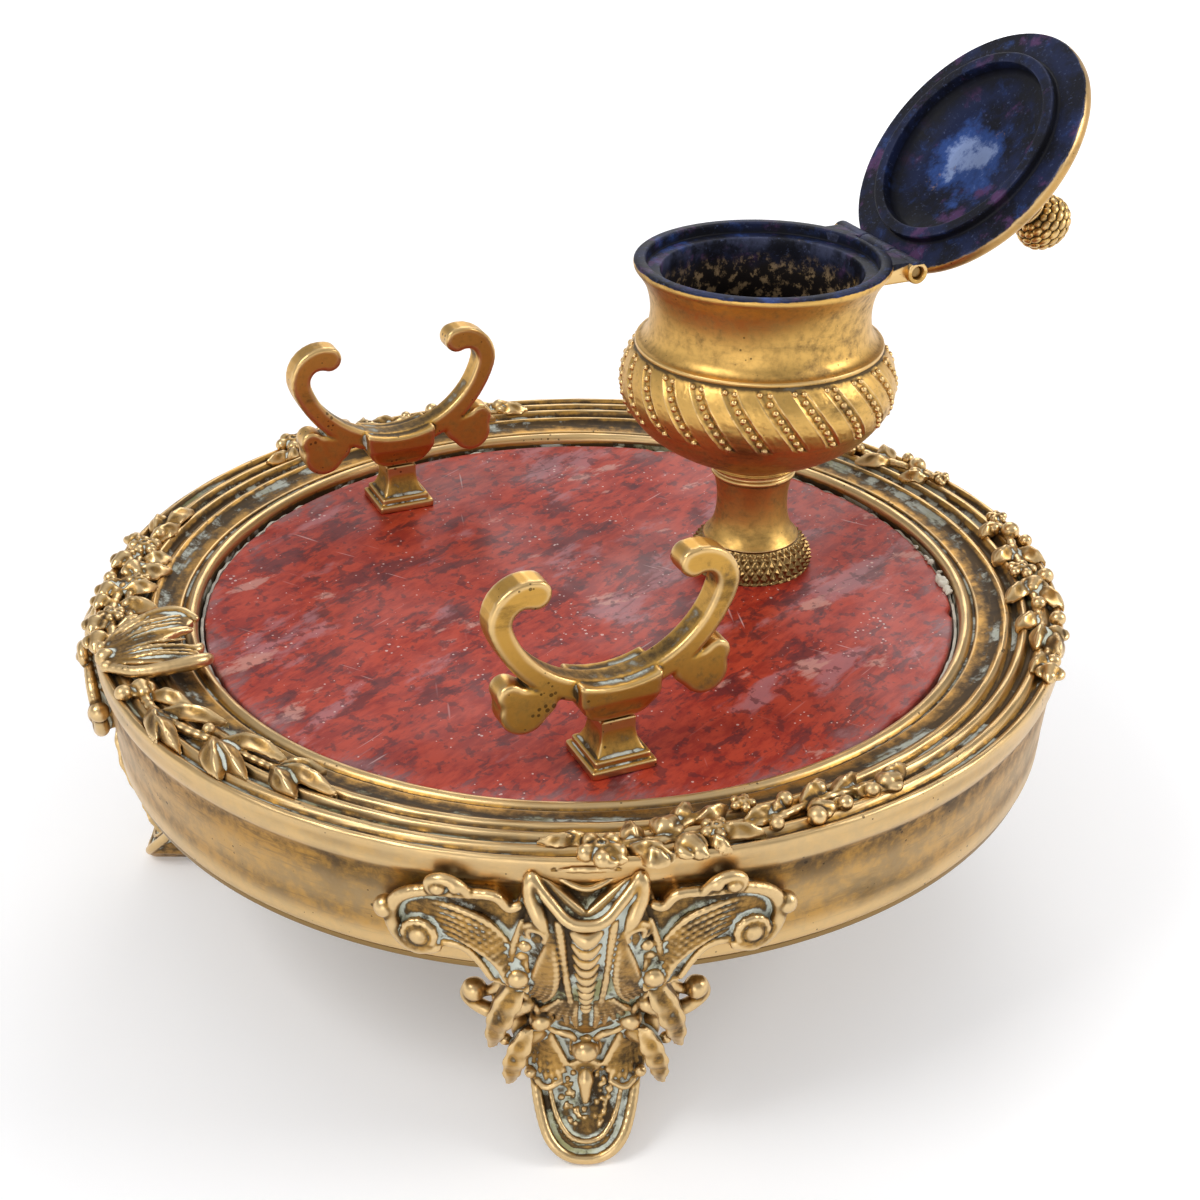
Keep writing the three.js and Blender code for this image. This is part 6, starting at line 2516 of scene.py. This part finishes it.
@dataclass
class PenRests:
    """Two lyre-shaped rests on square pedestals.

    Args:
        aside: How far each stands from the plane through the well.
        forward: How far it stands towards the writer.
        step: The clay's spacing.
        middle: Height of the cradle's middle.
        bend: Radius of the cradle's own line.
        thick: Thickness of its plate.
        ease: How far the plate's edges are rounded.
        end: Angle at which the line turns into the hook.
        hook: Radius of the hook's line.
        ears: Place and radius of the discs that make an ear.
    """

    aside: float = 57.53
    forward: float = 19.03
    step: float = 0.3
    middle: float = 36.9
    bend: float = 21.8
    thick: float = 5.2
    ease: float = 0.7
    end: float = 72.0
    hook: float = 4.9
    ears: tuple = ((17.0, 14.6, 4.4), (19.4, 18.0, 2.4), (13.6, 15.6, 2.7))

    def line(self) -> Array:
        """Draw half of the cradle's own line and the hook that it ends in.

        Returns:
            Rows of y, z and half the plate's width.
        """
        turns = np.radians(np.linspace(0, self.end, 17))
        way = np.stack([np.sin(turns), -np.cos(turns)], 1)
        arc = self.bend * way + (0, self.middle)
        turns = turns[-1] + np.radians(np.linspace(0, 128, 10)[1:])
        curl = arc[-1] - self.hook * way[-1] + self.hook * np.stack([np.sin(turns), -np.cos(turns)], 1)
        places = np.vstack([arc, curl])
        share = np.linspace(0, 1, len(places))
        widths = np.interp(share, [0, 0.5, 0.72, 0.86, 1], [2.1, 1.95, 2.15, 2.3, 2.65])
        return np.column_stack([places, widths])

    def plate(self) -> Form:
        """Make the flat cradle with its hooks and ears.

        Returns:
            The plate.
        """
        rows = self.line()

        def flat(y: Array, z: Array) -> Array:
            """Give the distance to the outline."""
            found = np.full(y.shape, 50.0)
            for (a, b, first), (c, d, last) in zip(rows, rows[1:]):
                t = np.clip(((y - a) * (c - a) + (z - b) * (d - b)) / ((c - a) ** 2 + (d - b) ** 2), 0, 1)
                away = np.hypot(y - a - t * (c - a), z - b - t * (d - b))
                found = np.minimum(found, away - first - t * (last - first))
            for place_y, place_z, radius in self.ears:
                ear = np.hypot(y - place_y, z - place_z) - radius
                found = -furthest([-found, -ear], 1.0)
            return found

        def distance(p: Array) -> Array:
            """Give the distance to the plate, whose edges are rounded."""
            across = flat(np.abs(p[..., 1]), p[..., 2]) + self.ease
            deep = np.abs(p[..., 0]) - self.thick / 2 + self.ease
            outside = np.hypot(np.maximum(across, 0), np.maximum(deep, 0))
            return outside + np.minimum(np.maximum(across, deep), 0) - self.ease

        return Form((-3.0, -24.5, 9.0), (3.0, 24.5, 41.0), distance)

    def boss(self) -> Form:
        """Make the shield-shaped block in the middle, hollowed to the cradle's line.

        Returns:
            The block.
        """

        def distance(p: Array) -> Array:
            """Give about the distance to it."""
            x, y, z = np.abs(p[..., 0]), np.abs(p[..., 1]), p[..., 2]
            half = np.interp(z, [9.8, 10.2, 11.0, 12.4, 14.2, 18.6], [3.6, 4.5, 5.7, 6.8, 7.5, 7.8])
            deep = np.interp(z, [9.8, 11.4, 14.0, 18.6], [3.4, 3.6, 4.7, 4.95])
            top = np.hypot(p[..., 1], z - self.middle)
            return furthest([y - half, x - deep, 9.8 - z, 19.9 - top], 0.8)

        return Form((-5.4, -8.5, 9.5), (5.4, 8.5, 19.5), distance)

    def rest(self) -> Skin:
        """Model one rest in clay.

        Returns:
            The rest.
        """
        clay = Clay([-5.4, -25.0, 9.2], [5.4, 25.0, 41.5], self.step)
        return clay.add(self.plate(), self.boss(), blend=0.12).skin()

    def pedestal(self) -> Skin:
        """Make the square pedestal: two steps and a neck that narrows in a curve.

        Returns:
            The pedestal.
        """
        side = np.vstack([
            eased([(0, 0.1), (6.2, 0.1), (6.2, 1.5), (5.35, 1.75), (5.35, 2.9), (4.55, 3.15)], 0.28, 3),
            flowing([(4.4, 3.4), (3.95, 4.3), (3.5, 5.6), (3.3, 7.2), (3.3, 9.3)], 5),
            [(3.1, 9.5), (0, 9.5)],
        ])

        def squared(radius: Array, height: Array, angle: Array) -> tuple[Array, Array]:
            """Turn rings into squares with crisp, slightly eased corners."""
            power = 26
            swell = (np.abs(np.cos(angle)) ** power + np.abs(np.sin(angle)) ** power) ** (-1 / power)
            return radius * swell, height

        return lathe(side, 192, squared)

    def build(self) -> None:
        """Make both rests and dress what holds them down."""
        rest, pedestal = self.rest(), self.pedestal()
        y, z = rest.points[:, 1], rest.points[:, 2]
        # The cradle's saddle and the boss count as more sunk, so they come out darker, as dirt and painted
        # shade, with some crust.
        saddle = (np.hypot(y, z - self.middle) < 20.4) & (z < 26)
        marks = {"saddle_sink": np.where(saddle, 0.07, 0.0)}
        gilt = Finishes.REST_GILT
        for side, name in ((1, "right"), (-1, "left")):
            place = (side * self.aside, -self.forward, 0.0)
            make_piece(f"rest_{name}", rest.shifted(place), gilt, "stand", [f"pen_rest_{name}"], marks=marks)
            nodes = [f"pen_rest_pedestal_{name}"]
            make_piece(f"pedestal_{name}", pedestal.shifted(place), gilt, "stand", nodes)
            for part in ("stud", "washer", "nut"):
                dress_node(f"pen_rest_{part}_{name}", Finishes.IRON)


# The room


@dataclass
class Studio:
    """A pale floor, soft lamps, and the camera where the photograph was taken from.

    Args:
        floor: Height of the surface that the feet stand on, in millimetres.
        eye: The camera's place, in millimetres.
        pitch: How far it looks down, in radians.
        heading: Azimuth that it looks along, in degrees, turned from +Y.
        yaw: A small turn on top of that, in radians.
        roll: Its roll, in radians.
        lens: Its focal length for a sensor of 36 mm.
        reach: How far the floor reaches from the middle, in metres.
    """

    floor: float = -63.75
    eye: tuple[float, float, float] = (316.1, -137.4, 184.8)
    pitch: float = 0.495
    heading: float = 66.5
    yaw: float = 0.012
    roll: float = 0.004
    lens: float = 57.66
    reach: float = 6.0

    def turned(self) -> Matrix:
        """Give the turn from the photograph's axes, with +Y away from the camera, to the part's."""
        return Matrix.Rotation(math.radians(self.heading), 3, "Z")

    def camera(self) -> None:
        """Set up the camera."""
        level = math.cos(self.pitch)
        forward = Vector((math.sin(self.yaw) * level, math.cos(self.yaw) * level, -math.sin(self.pitch)))
        right = Vector((math.cos(self.yaw), -math.sin(self.yaw), 0))
        up = right.cross(forward)
        rolled = math.cos(self.roll) * right + math.sin(self.roll) * up
        axes = self.turned() @ Matrix((rolled, rolled.cross(forward), -forward)).transposed()
        lens = bpy.data.cameras.new("camera")
        lens.lens = self.lens
        lens.sensor_width = 36.0
        lens.clip_start = 0.01
        lens.clip_end = 20.0
        made = bpy.data.objects.new("camera", lens)
        bpy.context.scene.collection.objects.link(made)
        made.matrix_world = Matrix.Translation(Vector(self.eye) * MM) @ axes.to_4x4()
        bpy.context.scene.camera = made

    def ground(self) -> None:
        """Lay the floor, white to the camera and to reflections."""
        made = bpy.data.materials.new("pale_floor")
        made.use_nodes = True
        made.node_tree.nodes.clear()
        wire = Wiring(made.node_tree)
        where = wire.place()
        tone = wire.color(wire.noise(where, 3.0, 2.0), (0.83, 0.83, 0.835), (0.87, 0.87, 0.87))
        away = wire.add("VectorMath", {0: where}, operation="LENGTH").outputs["Value"]
        far = wire.step(away, 0.25, 1.1)
        ray = wire.add("LightPath", {})
        seen = wire.most(ray.outputs["Is Camera Ray"], ray.outputs["Is Glossy Ray"])
        seen = wire.most(seen, ray.outputs["Is Transmission Ray"])
        glow = wire.times(seen, wire.number(far, 0.2, 0.75))
        inputs = {"Base Color": tone, "Roughness": 0.9, "Emission Color": (1.0, 1.0, 1.0)}
        shader = wire.add("BsdfPrincipled", inputs | {"Emission Strength": glow})
        last = made.node_tree.nodes.new("ShaderNodeOutputMaterial")
        made.node_tree.links.new(shader.outputs[0], last.inputs["Surface"])
        mesh = bpy.data.meshes.new("floor")
        corners = [
            (x * self.reach, y * self.reach, self.floor * MM) for x, y in ((-1, -1), (1, -1), (1, 1), (-1, 1))
        ]
        mesh.from_pydata(corners, [], [(0, 1, 2, 3)])
        mesh.materials.append(made)
        floor = bpy.data.objects.new("floor", mesh)
        bpy.context.scene.collection.objects.link(floor)

    def lamp(self, name: str, place: Sequence[float], size: float, power: float) -> None:
        """Hang a soft square lamp that shines at the inkstand.

        Args:
            name: Its name.
            place: Where it hangs, in metres, on the photograph's axes.
            size: Its width in metres.
            power: Its power in watts.
        """
        light = bpy.data.lights.new(name, "AREA")
        light.size = size
        light.energy = power
        made = bpy.data.objects.new(name, light)
        bpy.context.scene.collection.objects.link(made)
        spot = self.turned() @ Vector(place)
        made.location = spot
        made.rotation_mode = "QUATERNION"
        made.rotation_quaternion = (-spot).to_track_quat("-Z", "Y")

    def sky(self) -> None:
        """Make the room: white round the horizon, greyer above, pale overhead."""
        world = bpy.data.worlds.new("room")
        bpy.context.scene.world = world
        world.use_nodes = True
        world.node_tree.nodes.clear()
        wire = Wiring(world.node_tree)
        way = wire.add("TexCoord", {}).outputs["Generated"]
        height = wire.add("SeparateXYZ", {0: way}).outputs[2]
        room = wire.color(wire.step(height, 0.12, 0.42), (1.0, 1.0, 1.0), (0.34, 0.34, 0.35))
        room = wire.color(wire.step(height, 0.5, 0.95), room, (0.72, 0.73, 0.76))
        back = wire.add("Background", {"Color": room, "Strength": 1.0})
        last = world.node_tree.nodes.new("ShaderNodeOutputWorld")
        world.node_tree.links.new(back.outputs[0], last.inputs["Surface"])

    def build(self) -> None:
        """Set up the room."""
        self.camera()
        self.ground()
        self.sky()
        self.lamp("key_lamp", (-0.55, -0.35, 0.75), 0.4, 3.6)
        self.lamp("side_lamp", (0.75, -0.1, 0.45), 0.35, 2.7)
        self.lamp("back_lamp", (0.1, 0.8, 0.6), 0.5, 2.2)
        self.lamp("front_lamp", (-0.3, -0.95, 0.22), 0.45, 1.1)
        bpy.context.scene.view_settings.view_transform = "Standard"


def main() -> None:
    """Build the inkstand's looks, one sub-assembly after another."""
    logging.basicConfig(level=logging.INFO, format="%(name)s: %(message)s")
    tray = Tray()
    well = Inkwell()
    Studio().build()
    tray.build()
    Feet(tray).build()
    Garlands(tray).build()
    well.build()
    Lid(well).build()
    PenRests().build()


if __name__ == "__main__":
    main()
